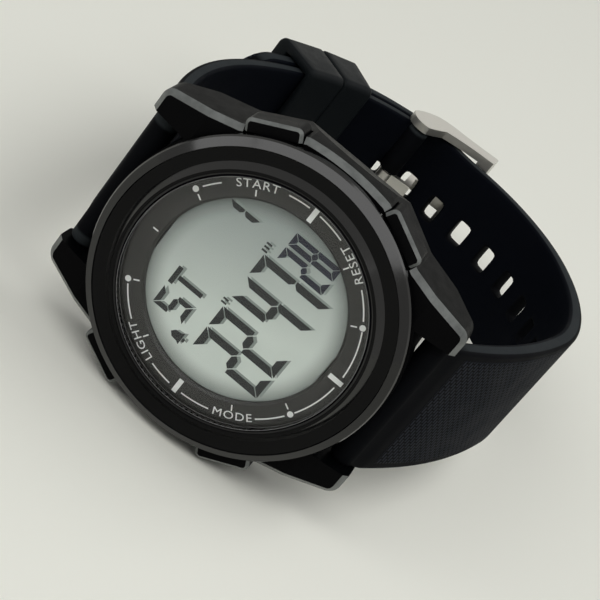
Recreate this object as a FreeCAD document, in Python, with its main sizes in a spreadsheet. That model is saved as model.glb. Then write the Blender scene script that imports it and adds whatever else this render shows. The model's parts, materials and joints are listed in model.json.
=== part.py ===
"""Digital wristwatch, buckled and lying on its 9 o'clock side.

Every piece is drawn in the watch's own frame: X to 3 o'clock, Y to 12 o'clock,
Z out of the dial, with the dial ring's face at Z = 0. One placement then lays
the whole watch on its side: +Z is up, the dial looks to -Y, and the case flank
and the buckle rest on Z = 0.
"""
import FreeCAD, Part
import os
from math import sin, cos, pi, radians, degrees, atan2, sqrt, hypot

import Sketcher
from FreeCAD import Vector, Placement, Rotation

SIZES = {
    # case
    "case_radius": 23.7, "case_top": 1.3, "case_depth": 10.6, "case_bore": 19.3,
    "case_ledge": 17.8, "ledge_drop": 7.8,
    "flank_half": 24.42, "flank_bow": 0.62, "flank_reach": 6.9, "flank_skirt": 4.4,
    "flank_foot": 22.7, "rim_facet": 0.85,
    # lugs
    "lug_gap": 24.4, "lug_reach": 26.75, "lug_tip_half": 15.9, "lug_root_half": 19.1,
    "lug_root": 15.4, "lug_fall": 1.85, "lug_nose": 1.3, "lug_corner": 1.4, "lug_heel": 8.3,
    "bar_spacing": 48.4, "bar_depth": 6.4,
    # bezel and glass
    "bezel_flange": 4.2, "bezel_band": 1.35, "bezel_floor": 1.0, "bezel_shoulder": 1.2,
    "bezel_edge": 0.4, "bezel_skirt": 0.9, "bezel_lap": 0.9, "lip_foot": 0.8,
    "lip_inset": 0.13, "lip_height": 1.95, "spigot_depth": 1.6, "spigot_wall": 0.55,
    "glass_thickness": 1.45, "glass_sunk": 0.15, "glass_bevel": 0.2, "gasket_wall": 0.25,
    # dial ring and display
    "ring_opening": 14.7, "ring_thickness": 0.9, "ring_bevel": 0.35,
    "display_radius": 16.6, "display_thickness": 1.1, "display_flat": 14.4,
    "reflector_thickness": 0.2, "glow_thickness": 0.6, "glow_radius": 13.4,
    # movement
    "module_radius": 16.9, "module_wall": 0.7, "board_thickness": 0.8, "board_drop": 4.7,
    "connector_length": 20.0, "connector_width": 1.1,
    "chip_side": 7.0, "chip_height": 0.9,
    "cell_radius": 10.0, "cell_height": 3.2, "cell_offset": 4.5, "clip_thickness": 0.25,
    "buzzer_radius": 9.0, "buzzer_thickness": 0.3,
    # case back
    "back_radius": 21.1, "back_thickness": 1.5, "back_proud": 0.6, "back_step": 15.5,
    "screw_circle": 19.9, "screw_radius": 0.5, "screw_head": 0.75, "screw_length": 2.6,
    "seal_radius": 18.4, "seal_wire": 0.4,
    # push buttons
    "button_angle": 27.5, "button_width": 8.2, "button_top": 1.0, "button_foot": 5.6,
    "button_reach": 25.4, "button_root": 23.45, "button_facet": 0.45, "button_round": 0.9, "button_travel": 0.8,
    "stem_radius": 1.0, "stem_end": 17.9, "clip_radius": 1.6, "oring_wire": 0.36,
    # strap
    "strap_lug_width": 24.0, "strap_width": 22.0, "taper_start": 8.0, "taper_end": 52.0,
    "long_thickness": 2.6, "short_thickness": 2.3, "knuckle_radius": 1.95,
    "long_inset": 0.4, "short_inset": 1.6,
    "strap_lean": 34.4, "run_one": 36.2, "run_three": 22.6, "run_four": 27.4, "run_six": 35.8,
    "turn_one": 21.6, "turn_two": 48.4, "turn_three": 50.9, "turn_four": 50.9,
    "turn_five": 30.0, "turn_six": 34.5,
    "short_length": 81.2, "tail_overlap": 40.5, "tail_round": 9.0,
    "hole_pitch": 6.5, "hole_along": 2.8, "hole_across": 4.4, "holes_before": 7,
    "holes_after": 4,
    # buckle and keepers
    "pin_radius": 0.65, "buckle_length": 13.8, "buckle_wall": 1.4, "bar_section": 2.2,
    "bar_height": 2.65, "pin_knuckle": 1.9, "pin_inward": 0.3, "arm_eye": 2.45, "prong_width": 2.2, "prong_thickness": 1.25,
    "prong_hole": 4.9, "prong_notch": 3.2,
    "keeper_start": 12.3, "fixed_length": 6.8, "sliding_length": 8.5, "keeper_gap": 0.3,
    "keeper_wall": 2.8, "keeper_side": 1.6, "keeper_round": 0.7,
    "keeper_inside": 1.3, "keeper_travel": 6.0,
    # spring bars
    "tube_radius": 0.9, "tip_radius": 0.55, "tip_grip": 1.9, "tip_travel": 1.5,
    # clearances
    "slip_fit": 0.05, "soft_gap": 0.3, "side_gap": 0.2,
}

document = FreeCAD.newDocument("DigitalWatch")
sheet = document.addObject("Spreadsheet::Sheet", "Sizes")
for row, (alias, number) in enumerate(SIZES.items(), start=1):
    sheet.set("A%d" % row, alias)
    sheet.set("B%d" % row, str(number))
    sheet.setAlias("B%d" % row, alias)
document.recompute()


class Size(float):
    """A number that remembers the spreadsheet expression it comes from."""

    def __new__(cls, value, text):
        size = float.__new__(cls, value)
        size.text = text
        return size

    def joined(self, other, value, mark, swap=False):
        left, right = (term(other), self.text) if swap else (self.text, term(other))
        return Size(value, "(%s %s %s)" % (left, mark, right))

    def __add__(self, other):
        return self.joined(other, float(self) + float(other), "+")

    def __radd__(self, other):
        return self.joined(other, float(other) + float(self), "+", True)

    def __sub__(self, other):
        return self.joined(other, float(self) - float(other), "-")

    def __rsub__(self, other):
        return self.joined(other, float(other) - float(self), "-", True)

    def __mul__(self, other):
        return self.joined(other, float(self) * float(other), "*")

    def __rmul__(self, other):
        return self.joined(other, float(other) * float(self), "*", True)

    def __truediv__(self, other):
        return self.joined(other, float(self) / float(other), "/")

    def __neg__(self):
        return Size(-float(self), "(-%s)" % self.text)


def term(value):
    return value.text if isinstance(value, Size) else repr(float(value))


def size(alias):
    return Size(float(sheet.get(alias)), "Sizes." + alias)


def bind(thing, prop, value):
    setattr(thing, prop, float(value))
    if isinstance(value, Size):
        thing.setExpression(prop, value.text)


subparts = []


def body(name):
    new = document.addObject("PartDesign::Body", name)
    new.Label = name
    subparts.append(new)
    return new


def plane(owner, role):
    return next(f for f in owner.Origin.OriginFeatures if f.Role == role)


def sketch(owner, role, name, lift=0.0):
    new = owner.newObject("Sketcher::SketchObject", owner.Name + "_" + name)
    new.AttachmentSupport = [(plane(owner, role), "")]
    new.MapMode = "FlatFace"
    new.AttachmentOffset = Placement(Vector(0, 0, float(lift)), Rotation())
    if isinstance(lift, Size):
        new.setExpression("AttachmentOffset.Base.z", lift.text)
    return new


def pin_down(drawing, geometry, end, point):
    """Hold one sketch point at its place, bound to the sheet where it can be."""
    for kind, value in (("DistanceX", point[0]), ("DistanceY", point[1])):
        if abs(value) < 1e-9:
            continue
        near, far = ((-1, 1), (geometry, end)) if value > 0 else ((geometry, end), (-1, 1))
        index = drawing.addConstraint(Sketcher.Constraint(kind, *near, *far, abs(float(value))))
        if isinstance(value, Size):
            drawing.setExpression("Constraints[%d]" % index, (value if value > 0 else -value).text)


def profile(drawing, points):
    """A closed outline. A point is (u, v), or (u, v, (mu, mv)) to be reached by an arc."""
    count = len(points)
    first = drawing.GeometryCount
    for i in range(count):
        here, there = points[i], points[(i + 1) % count]
        start = Vector(float(here[0]), float(here[1]), 0)
        stop = Vector(float(there[0]), float(there[1]), 0)
        if len(there) == 3:
            middle = Vector(float(there[2][0]), float(there[2][1]), 0)
            drawing.addGeometry(Part.Arc(start, middle, stop))
        else:
            drawing.addGeometry(Part.LineSegment(start, stop))
    return first


def bound_profile(drawing, points):
    """A closed outline of straight lines whose corners are bound to the sheet."""
    first = profile(drawing, points)
    count = len(points)
    for i in range(count):
        after = first + (i + 1) % count
        drawing.addConstraint(Sketcher.Constraint("Coincident", first + i, 2, after, 1))
    for i, point in enumerate(points):
        pin_down(drawing, first + i, 1, point)


def circle(drawing, u, v, radius):
    index = drawing.addGeometry(Part.Circle(Vector(float(u), float(v), 0), Vector(0, 0, 1), float(radius)))
    held = drawing.addConstraint(Sketcher.Constraint("Radius", index, float(radius)))
    if isinstance(radius, Size):
        drawing.setExpression("Constraints[%d]" % held, radius.text)
    return index


def pad(owner, drawing, length, middle=False, reverse=False):
    new = owner.newObject("PartDesign::Pad", drawing.Name + "_pad")
    new.Profile = drawing
    bind(new, "Length", length)
    new.Midplane = middle
    new.Reversed = reverse
    drawing.Visibility = False
    return new


def pocket(owner, drawing, length, middle=False, reverse=False):
    new = owner.newObject("PartDesign::Pocket", drawing.Name + "_cut")
    new.Profile = drawing
    bind(new, "Length", length)
    new.Midplane = middle
    new.Reversed = reverse
    drawing.Visibility = False
    return new


def turned(name, points):
    """A piece turned about the watch's axis from a profile of (radius, height) corners."""
    owner = body(name)
    drawing = sketch(owner, "XZ_Plane", "profile")
    bound_profile(drawing, points)
    new = owner.newObject("PartDesign::Revolution", name + "_turn")
    new.Profile = drawing
    new.ReferenceAxis = (drawing, ["V_Axis"])
    new.Angle = 360.0
    drawing.Visibility = False
    return owner


def plate(name, bottom, thickness, points=None, radius=None):
    owner = body(name)
    drawing = sketch(owner, "XY_Plane", "outline", bottom)
    if radius is not None:
        circle(drawing, 0, 0, radius)
    else:
        bound_profile(drawing, points)
    pad(owner, drawing, thickness)
    return owner


def rectangle(left, right, low, high):
    return [(left, low), (right, low), (right, high), (left, high)]


class Route:
    """A chain of tangent arcs in the watch's Y-Z plane. Heading 0 runs to -Z, and a
    positive turn bends towards +Y, so the wrist stays on the left of the way round."""

    def __init__(self, y, z, heading, runs):
        self.spans = []
        self.length = 0.0
        self.tip = (y, z, heading)
        for run, turn in runs:
            self.add(run, turn)

    def add(self, run, turn):
        y, z, heading = self.tip
        self.spans.append((self.length, run, turn, self.tip))
        chord = run if abs(turn) < 1e-9 else run * sin(turn / 2) / (turn / 2)
        y += chord * sin(heading + turn / 2)
        z -= chord * cos(heading + turn / 2)
        self.length += run
        self.tip = (y, z, heading + turn)

    def span_at(self, along):
        for span in self.spans:
            if along <= span[0] + span[1] + 1e-9:
                return span
        return self.spans[-1]

    def place(self, along):
        start, run, turn, (y, z, heading) = self.span_at(along)
        part = along - start
        bend = turn * part / run
        chord = part if abs(bend) < 1e-9 else part * sin(bend / 2) / (bend / 2)
        return y + chord * sin(heading + bend / 2), z - chord * cos(heading + bend / 2), heading + bend

    def point(self, along, out):
        """The point at a distance along the wrist side, moved out from the wrist."""
        y, z, heading = self.place(along)
        return y - out * cos(heading), z - out * sin(heading)

    def knots(self, start, stop):
        inner = [span[0] for span in self.spans if start + 1e-6 < span[0] < stop - 1e-6]
        return [start] + inner + [stop]

    def side(self, start, stop, out):
        """Outline points along one side: the first alone, the rest each with its arc."""
        marks = self.knots(start, stop) if start < stop else self.knots(stop, start)[::-1]
        points = [self.point(marks[0], out)]
        for here, there in zip(marks, marks[1:]):
            points.append(self.point(there, out) + (self.point((here + there) / 2, out),))
        return points

    def band(self, start, stop, inner, outer):
        """A closed outline between two distances out from the wrist."""
        return self.side(start, stop, inner) + self.side(stop, start, outer)

    def centre(self, along):
        start, run, turn, (y, z, heading) = self.span_at(along)
        radius = run / turn
        return y + radius * cos(heading), z + radius * sin(heading), radius


def closing_runs(begin, heading, end, turns, fixed):
    """Run lengths of a chain whose two open runs (None) make it end where it must."""
    sums = [[0.0, 0.0], [0.0, 0.0]]
    rest = [end[0] - begin[0], end[1] - begin[1]]
    columns = []
    for run, turn in zip(fixed, turns):
        factor = sin(turn / 2) / (turn / 2)
        step = (factor * sin(heading + turn / 2), -factor * cos(heading + turn / 2))
        if run is None:
            columns.append(step)
        else:
            rest = [rest[0] - run * step[0], rest[1] - run * step[1]]
        heading += turn
    (a, c), (b, d) = columns
    scale = a * d - b * c
    first = (rest[0] * d - b * rest[1]) / scale
    second = (a * rest[1] - c * rest[0]) / scale
    found = iter((first, second))
    return [next(found) if run is None else run for run in fixed]


def arc_to(route, target):
    """Add the arc that leaves the route's end tangent and reaches the target."""
    y, z, heading = route.tip
    chord_heading = atan2(target[0] - y, -(target[1] - z))
    turn = 2 * ((chord_heading - heading + pi) % (2 * pi) - pi)
    chord = hypot(target[0] - y, target[1] - z)
    run = chord if abs(turn) < 1e-9 else chord * (turn / 2) / sin(turn / 2)
    route.add(run, turn)


def biarc_to(route, target, heading):
    """Two tangent arcs from the route's end to a place and heading."""
    y, z, begin = route.tip
    away = (target[0] - y, target[1] - z)
    first = (sin(begin), -cos(begin))
    last = (sin(heading), -cos(heading))
    both = (first[0] + last[0], first[1] + last[1])
    spread = 2 * (1 - first[0] * last[0] - first[1] * last[1])
    reach = away[0] * both[0] + away[1] * both[1]
    square = away[0] ** 2 + away[1] ** 2
    step = (sqrt(reach ** 2 + spread * square) - reach) / spread if spread > 1e-9 else square / (2 * reach)
    middle = ((y + target[0] + step * (first[0] - last[0])) / 2,
              (z + target[1] + step * (first[1] - last[1])) / 2)
    arc_to(route, middle)
    arc_to(route, target)


# The wrist line: the inner face of the buckled strap, from the 6 o'clock bar round
# to the 12 o'clock bar.
bar_y = size("bar_spacing") / 2
bar_z = -size("bar_depth")
lean = radians(size("strap_lean"))
turns = [radians(size("turn_" + word)) for word in ("one", "two", "three", "four", "five", "six")]
end_heading = sum(turns) - lean
long_inset, short_inset = size("long_inset"), size("short_inset")
wrist_start = (-bar_y + long_inset * cos(lean), bar_z - long_inset * sin(lean))
wrist_end = (bar_y + short_inset * cos(end_heading), bar_z + short_inset * sin(end_heading))
runs = closing_runs(wrist_start, -lean, wrist_end, turns,
                    [float(size("run_one")), None, float(size("run_three")),
                     float(size("run_four")), None, float(size("run_six"))])
wrist = Route(wrist_start[0], wrist_start[1], -lean, list(zip(runs, turns)))
print("wrist line runs", [round(run, 2) for run in runs], "length", round(wrist.length, 1))

long_thick = size("long_thickness")
short_thick = size("short_thickness")
soft = size("soft_gap")
layer = short_thick + soft
both = layer + long_thick
pin_at = wrist.length - size("short_length")
tail_at = pin_at + size("tail_overlap")
step_start = pin_at - size("buckle_length") + size("hole_pitch") / 10
step_end = pin_at - size("pin_knuckle")

# The long half follows the wrist line, steps out through the buckle and then lies on
# the short half.
long_route = Route(wrist_start[0], wrist_start[1], -lean, [])
for start, run, turn, tip in wrist.spans:
    if start >= step_start:
        break
    part = min(run, step_start - start)
    long_route.add(part, turn * part / run)
biarc_to(long_route, wrist.point(step_end, layer), wrist.place(step_end)[2])
shift = long_route.length - step_end
for start, run, turn, tip in wrist.spans:
    here = max(start, step_end)
    there = min(start + run, tail_at)
    if there > here:
        bend = turn * (there - here) / run
        long_route.add((there - here) + layer * bend, bend)
long_end = long_route.length


def long_place(along_wrist):
    """Distance along the long half that lies over a distance along the wrist line."""
    if along_wrist <= step_start:
        return along_wrist
    best, gap = step_start, 1e9
    target = wrist.point(along_wrist, layer)
    steps = 4000
    for i in range(steps + 1):
        along = step_start + (long_end - step_start) * i / steps
        y, z, _ = long_route.place(along)
        away = hypot(y - target[0], z - target[1])
        if away < gap:
            best, gap = along, away
    return best


# Case

lug_in = size("lug_gap") / 2
case_r = size("case_radius")
top = -size("case_top")
foot = -size("case_depth")
lug_y = size("lug_reach")


def case_outline():
    """The case seen from the front: a ring with four lugs and two bowed flanks."""
    root_y = sqrt(case_r ** 2 - lug_in ** 2)
    flank_x = size("flank_half") - size("flank_bow")
    reach = size("flank_reach")
    tip, root, root_half = size("lug_tip_half"), size("lug_root"), size("lug_root_half")
    corner = float(size("lug_corner"))
    side = hypot(root_half - tip, root - lug_y)
    away = ((root_half - tip) / side, (root - lug_y) / side)
    before = (float(tip) - corner, float(lug_y))
    after = (float(tip + away[0] * corner), float(lug_y + away[1] * corner))
    middle = (float(tip) - corner * 0.22, float(lug_y) - corner * 0.29)
    quarter = [(float(lug_in), float(root_y)), (float(lug_in), float(lug_y)), before, after + (middle,),
               (float(root_half), float(root)), (float(flank_x), float(reach))]
    back = [(lug_in, root_y), (lug_in, lug_y), before + (middle,), after, (root_half, root), (flank_x, reach)]

    def flipped(points, sx, sy):
        made = []
        for point in points:
            flat = (sx * float(point[0]), sy * float(point[1]))
            if len(point) == 3:
                flat += ((sx * point[2][0], sy * point[2][1]),)
            made.append(flat)
        return made
    half = float(size("flank_half"))
    points = quarter + [(float(flank_x), -float(reach), (half, 0.0))] + flipped(back[-2::-1], 1, -1)
    points.append((-float(lug_in), -float(root_y), (0.0, -float(case_r))))
    points += flipped(quarter[1:], -1, -1) + [(-float(flank_x), float(reach), (-half, 0.0))]
    points += flipped(back[-2::-1], -1, 1)
    points[0] = (float(lug_in), float(root_y), (0.0, float(case_r)))
    return points


def lug_waste(sign):
    """What is cut away above, in front of and below a pair of lugs, seen from the side."""
    fall_y = lug_y - 7.2
    nose = float(size("lug_nose"))
    tip_z = float(top - size("lug_fall"))
    heel = -float(size("lug_heel"))
    bend = nose * (1 - sqrt(0.5))
    far_y, high, low = float(lug_y) + 3.0, 1.0, float(foot) - 2.0
    shape = [(fall_y, top), (lug_y, tip_z), (lug_y, heel + nose), (lug_y - nose, heel, (lug_y - bend, heel + bend)),
             (lug_y - 5.4, foot), (lug_y - 5.4, low), (far_y, low), (far_y, high), (fall_y, high)]
    turned_points = []
    for point in shape:
        flat = (sign * float(point[0]), float(point[1]))
        if len(point) == 3:
            flat += ((sign * float(point[2][0]), float(point[2][1])),)
        turned_points.append(flat)
    return turned_points


def build_case():
    owner = body("case_body")
    outline = sketch(owner, "XY_Plane", "outline", foot)
    profile(outline, case_outline())
    pad(owner, outline, size("case_depth") - size("case_top"))
    lugs = sketch(owner, "YZ_Plane", "lugs")
    profile(lugs, lug_waste(1))
    profile(lugs, lug_waste(-1))
    pocket(owner, lugs, 4 * lug_y, middle=True)
    skirt = sketch(owner, "XZ_Plane", "skirt")
    foot_x, skirt_z = size("flank_foot"), -size("flank_skirt")
    wide = size("flank_half") + 1
    for sign in (1, -1):
        bound_profile(skirt, [(sign * foot_x, foot - 0.2), (sign * wide, foot - 0.2), (sign * wide, skirt_z),
                              (sign * size("flank_half"), skirt_z)])
    pocket(owner, skirt, 2 * size("lug_root"), middle=True)
    document.recompute()
    base = owner.Tip
    rim = [name for name, edge in named_edges(base.Shape) if on_rim(edge)]
    facet = owner.newObject("PartDesign::Chamfer", "case_rim_facet")
    facet.Base = (base, rim)
    bind(facet, "Size", size("rim_facet"))
    document.recompute()
    bore = sketch(owner, "XY_Plane", "bore", top + 1)
    circle(bore, 0, 0, size("case_bore"))
    pocket(owner, bore, size("ledge_drop") - size("case_top") + 1)
    ledge = sketch(owner, "XY_Plane", "ledge", top + 1)
    circle(ledge, 0, 0, size("case_ledge"))
    pocket(owner, ledge, size("case_depth") + 3)
    recess = sketch(owner, "XY_Plane", "back_recess", foot + size("back_thickness") - size("back_proud"))
    circle(recess, 0, 0, size("back_radius") + size("side_gap") / 2)
    pocket(owner, recess, size("case_depth"))
    seats = sketch(owner, "YZ_Plane", "strap_seats")
    for sign in (1, -1):
        circle(seats, sign * bar_y, bar_z, size("knuckle_radius") + soft)
    pocket(owner, seats, size("lug_gap"), middle=True)
    ways = sketch(owner, "YZ_Plane", "strap_ways")
    clear = bar_y - size("knuckle_radius") - soft
    for sign in (1, -1):
        bound_profile(ways, rectangle(*sorted((sign * clear, sign * (lug_y + 1))), foot - 1, bar_z))
    pocket(owner, ways, size("lug_gap"), middle=True)
    bars = sketch(owner, "YZ_Plane", "bar_holes")
    for sign in (1, -1):
        circle(bars, sign * bar_y, bar_z, size("tip_radius") + size("slip_fit"))
    pocket(owner, bars, 2 * (lug_in + size("tip_grip") + size("side_gap")), middle=True)
    for angle in button_angles().values():
        cut_button_seat(owner, angle)
    screws = sketch(owner, "XY_Plane", "screw_holes", foot + size("screw_length") + size("side_gap"))
    for x, y in screw_places():
        circle(screws, x, y, size("screw_radius"))
    pocket(owner, screws, size("case_depth"))
    return owner


def named_edges(shape):
    return [("Edge%d" % (i + 1), edge) for i, edge in enumerate(shape.Edges)]


def on_rim(edge):
    """Top outline edges of the flanks and lugs, from one lug's tip round to the next."""
    ends = [vertex.Point for vertex in edge.Vertexes]
    if len(ends) < 2:
        return False
    middle = edge.CenterOfMass
    ground = float(top - size("lug_fall")) - 0.01
    across = abs(ends[0].y - ends[1].y) < 0.01 and abs(middle.y) < float(lug_y) - 0.1
    outside = abs(middle.x) > float(lug_in) + 0.3 and ends[0].x * ends[1].x > 0
    return outside and not across and min(p.z for p in ends) > ground


def button_angles():
    angle = float(size("button_angle"))
    return {"button_start": angle, "button_reset": -angle, "button_light": 180 - angle,
            "button_mode": 180 + angle}


def radial(angle, height):
    """A placement whose X axis points out of the case at the angle."""
    return Placement(Vector(0, 0, float(height)), Rotation(Vector(0, 0, 1), angle))


def cut_button_seat(owner, angle):
    """The seat, the seal's counterbore and the stem's hole of one push button."""
    label = "seat_%d" % round(angle % 360)
    gap = size("side_gap")
    seat = owner.newObject("PartDesign::SubtractiveBox", label)
    width = size("button_width") + 2 * gap
    floor = size("button_root") - size("button_travel") - gap
    height = size("button_foot") + gap + 1
    bind(seat, "Length", 6.0)
    bind(seat, "Width", width)
    bind(seat, "Height", height)
    offset = Vector(float(floor), -float(width) / 2, -float(size("button_foot") + gap))
    turn = Rotation(Vector(0, 0, 1), angle)
    seat.Placement = Placement(turn.multVec(offset), turn)
    middle = -(size("button_top") + size("button_foot")) / 2
    for name, radius, inner, outer in (
            ("stem", size("stem_radius") + size("slip_fit"), size("case_bore") - 2, floor + 1),
            ("seal", seal_outer() + size("slip_fit"), floor - seal_seat(), floor + 1)):
        hole = owner.newObject("PartDesign::SubtractiveCylinder", label + "_" + name)
        bind(hole, "Radius", radius)
        bind(hole, "Height", outer - inner)
        start = turn.multVec(Vector(float(inner), 0, float(middle)))
        hole.Placement = Placement(start, turn.multiply(Rotation(Vector(0, 1, 0), 90)))


def seal_outer():
    return size("stem_radius") + size("slip_fit") + 2 * size("oring_wire")


def seal_seat():
    return 2 * size("oring_wire") + 2 * size("slip_fit")


def screw_places():
    ring = size("screw_circle")
    half = ring * sqrt(0.5)
    return [(half, half), (-half, half), (-half, -half), (half, -half)]


def build_button(name, angle):
    owner = body(name)
    middle = -(size("button_top") + size("button_foot")) / 2
    root, reach, facet = size("button_root"), size("button_reach"), size("button_facet")
    half = size("button_width") / 2
    drawing = sketch(owner, "XY_Plane", "cap", -size("button_foot"))
    bound_profile(drawing, rectangle(root, reach, -half, half))
    pad(owner, drawing, size("button_foot") - size("button_top"))
    document.recompute()
    base = owner.Tip
    posts = [edge_name for edge_name, edge in named_edges(base.Shape)
             if edge.BoundBox.XMin > float(reach) - 0.01 and edge.BoundBox.ZLength > 1]
    corners = owner.newObject("PartDesign::Fillet", name + "_corners")
    corners.Base = (base, posts)
    bind(corners, "Radius", size("button_round"))
    document.recompute()
    base = owner.Tip
    edges = []
    for edge_name, edge in named_edges(base.Shape):
        box = edge.BoundBox
        corner_start = float(reach - size("button_round")) - 0.01
        at_front = box.XMax > corner_start and box.XMin > float(root) + 0.1
        along_side = box.XLength > 0.5 and box.YLength < 0.01
        if box.ZLength < 0.01 and (at_front or along_side):
            edges.append(edge_name)
    bevel = owner.newObject("PartDesign::Chamfer", name + "_bevel")
    bevel.Base = (base, edges)
    bind(bevel, "Size", facet)
    document.recompute()
    stem = owner.newObject("PartDesign::AdditiveCylinder", name + "_stem")
    bind(stem, "Radius", size("stem_radius"))
    bind(stem, "Height", root + 0.5 - size("stem_end"))
    stem.Placement = Placement(Vector(float(size("stem_end")), 0, float(middle)), Rotation(Vector(0, 1, 0), 90))
    groove = owner.newObject("PartDesign::SubtractiveTorus", name + "_groove")
    bind(groove, "Radius1", size("stem_radius") + 0.1)
    bind(groove, "Radius2", Size(0.3, "0.3"))
    groove.Placement = Placement(Vector(float(size("stem_end")) + 0.7, 0, float(middle)),
                                 Rotation(Vector(0, 1, 0), 90))
    return owner, Placement(Vector(), Rotation(Vector(0, 0, 1), angle))


def build_clip(name, angle):
    """The retaining clip on a stem, just inside the case wall."""
    owner = body(name)
    drawing = sketch(owner, "YZ_Plane", "clip", size("case_bore") - 0.75)
    middle = -(size("button_top") + size("button_foot")) / 2
    circle(drawing, 0, middle, size("clip_radius"))
    circle(drawing, 0, middle, size("stem_radius") + size("slip_fit") / 5)
    pad(owner, drawing, Size(0.4, "0.4"))
    return owner, Placement(Vector(), Rotation(Vector(0, 0, 1), angle))


def build_oring(name, angle):
    """The rubber seal round a stem, in its counterbore."""
    owner = body(name)
    floor = size("button_root") - size("button_travel") - size("side_gap")
    drawing = sketch(owner, "YZ_Plane", "ring", floor - seal_seat() + 0.02)
    middle = -(size("button_top") + size("button_foot")) / 2
    inner = size("stem_radius") + size("slip_fit") / 2
    circle(drawing, 0, middle, inner + 2 * size("oring_wire"))
    circle(drawing, 0, middle, inner)
    pad(owner, drawing, 2 * size("oring_wire"))
    return owner, Placement(Vector(), Rotation(Vector(0, 0, 1), angle))


def build_bezel():
    wall = size("case_bore") - size("side_gap") / 4
    bore = wall - size("spigot_wall")
    radius = size("case_bore") + size("bezel_flange")
    seat = radius - size("bezel_lap")
    step = radius - size("bezel_band")
    return turned("bezel_ring", [
        (bore, -size("spigot_depth")), (wall, -size("spigot_depth")), (wall, top),
        (seat, top), (seat, -size("bezel_skirt")),
        (radius, -size("bezel_skirt")), (radius, Size(0.0, "0.0") + 0.02),
        (radius - 0.2, size("bezel_edge")), (step, size("bezel_shoulder")),
        (step - 0.15, size("bezel_floor")), (size("case_bore") + size("lip_foot"), size("bezel_floor")),
        (size("case_bore") - size("lip_inset"), size("lip_height")), (bore, size("lip_height"))])


def bezel_bore():
    return size("case_bore") - size("side_gap") / 4 - size("spigot_wall")


def build_front():
    bore = bezel_bore()
    glass = bore - size("gasket_wall")
    glass_top = size("lip_height") - size("glass_sunk")
    glass_low = glass_top - size("glass_thickness")
    bevel = size("glass_bevel")
    turned("crystal", [(0, glass_low), (glass, glass_low), (glass, glass_top - bevel),
                       (glass - bevel, glass_top), (0, glass_top)])
    turned("crystal_gasket", [(glass, glass_low), (bore, glass_low), (bore, glass_top - bevel),
                              (glass, glass_top - bevel)])
    opening, deep = size("ring_opening"), -size("ring_thickness")
    turned("dial_ring", [(opening, deep), (bore - 0.05, deep), (bore - 0.05, Size(0.0, "0.0") + glass_low),
                         (bore - 0.45, Size(0.0, "0.0") + glass_low), (bore - 0.5, 0), (opening + size("ring_bevel"), 0),
                         (opening, -size("ring_bevel"))])


def round_plate_with_flats(name, bottom, thickness, radius, flat):
    """A disc cut straight along 12 and 6 o'clock."""
    owner = body(name)
    drawing = sketch(owner, "XY_Plane", "outline", bottom)
    half = sqrt(float(radius) ** 2 - float(flat) ** 2)
    r, f = float(radius), float(flat)
    profile(drawing, [(-half, -f, (-r, 0.0)), (half, -f), (half, f, (r, 0.0)), (-half, f)])
    pad(owner, drawing, thickness)
    return owner


def build_movement():
    display_low = -size("ring_thickness") - size("display_thickness")
    round_plate_with_flats("display_glass", display_low, size("display_thickness"),
                           size("display_radius"), size("display_flat"))
    reflector_low = display_low - size("reflector_thickness")
    plate("display_reflector", reflector_low, size("reflector_thickness"), radius=size("glow_radius"))
    glow_low = reflector_low - size("glow_thickness")
    plate("backlight_panel", glow_low, size("glow_thickness"), radius=size("glow_radius"))
    board_top = -size("board_drop")
    board_low = board_top - size("board_thickness")
    build_module_frame(display_low, board_top)
    connector = size("connector_length") / 2
    wide = size("connector_width") / 2
    place = size("display_flat") - size("connector_width") / 2 + 0.1
    owner = body("display_connectors")
    drawing = sketch(owner, "XY_Plane", "strips", board_top)
    for sign in (1, -1):
        low, high = sorted((sign * place - wide, sign * place + wide))
        bound_profile(drawing, rectangle(-connector / 2, connector / 2, low, high))
    pad(owner, drawing, display_low - board_top)
    plate("circuit_board", board_low, size("board_thickness"), radius=size("module_radius") - 0.4)
    chip = size("chip_side") / 2
    chip_y = -size("cell_radius") - 0.5
    plate("controller_chip", board_low - size("chip_height"), size("chip_height"),
          rectangle(-chip, chip, chip_y - chip + 1, chip_y + chip - 1))
    led = body("backlight_lamp")
    lamp = sketch(led, "XY_Plane", "lamp", board_top)
    edge = size("glow_radius")
    bound_profile(lamp, rectangle(-(edge + 2.2), -(edge + 0.4), Size(-0.8, "-0.8"), Size(0.8, "0.8")))
    pad(led, lamp, Size(1.2, "1.2"))
    build_cell(board_low)


def build_module_frame(display_low, board_top):
    """The plastic tray under the display that holds the light panel and connectors."""
    owner = body("module_frame")
    drawing = sketch(owner, "XY_Plane", "tray", board_top)
    circle(drawing, 0, 0, size("module_radius"))
    pad(owner, drawing, display_low - board_top)
    glow = sketch(owner, "XY_Plane", "light_pocket", display_low)
    circle(glow, 0, 0, size("glow_radius") + 0.1)
    pocket(owner, glow, size("reflector_thickness") + size("glow_thickness"))
    slots = sketch(owner, "XY_Plane", "slots", display_low)
    connector = size("connector_length") / 4 + 0.1
    wide = size("connector_width") / 2 + 0.1
    place = size("display_flat") - size("connector_width") / 2 + 0.1
    for sign in (1, -1):
        low, high = sorted((sign * place - wide, sign * place + wide))
        bound_profile(slots, rectangle(-connector, connector, low, high))
    edge = size("glow_radius")
    bound_profile(slots, rectangle(-(edge + 2.3), -(edge + 0.3), Size(-0.9, "-0.9"), Size(0.9, "0.9")))
    pocket(owner, slots, display_low - board_top)


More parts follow.
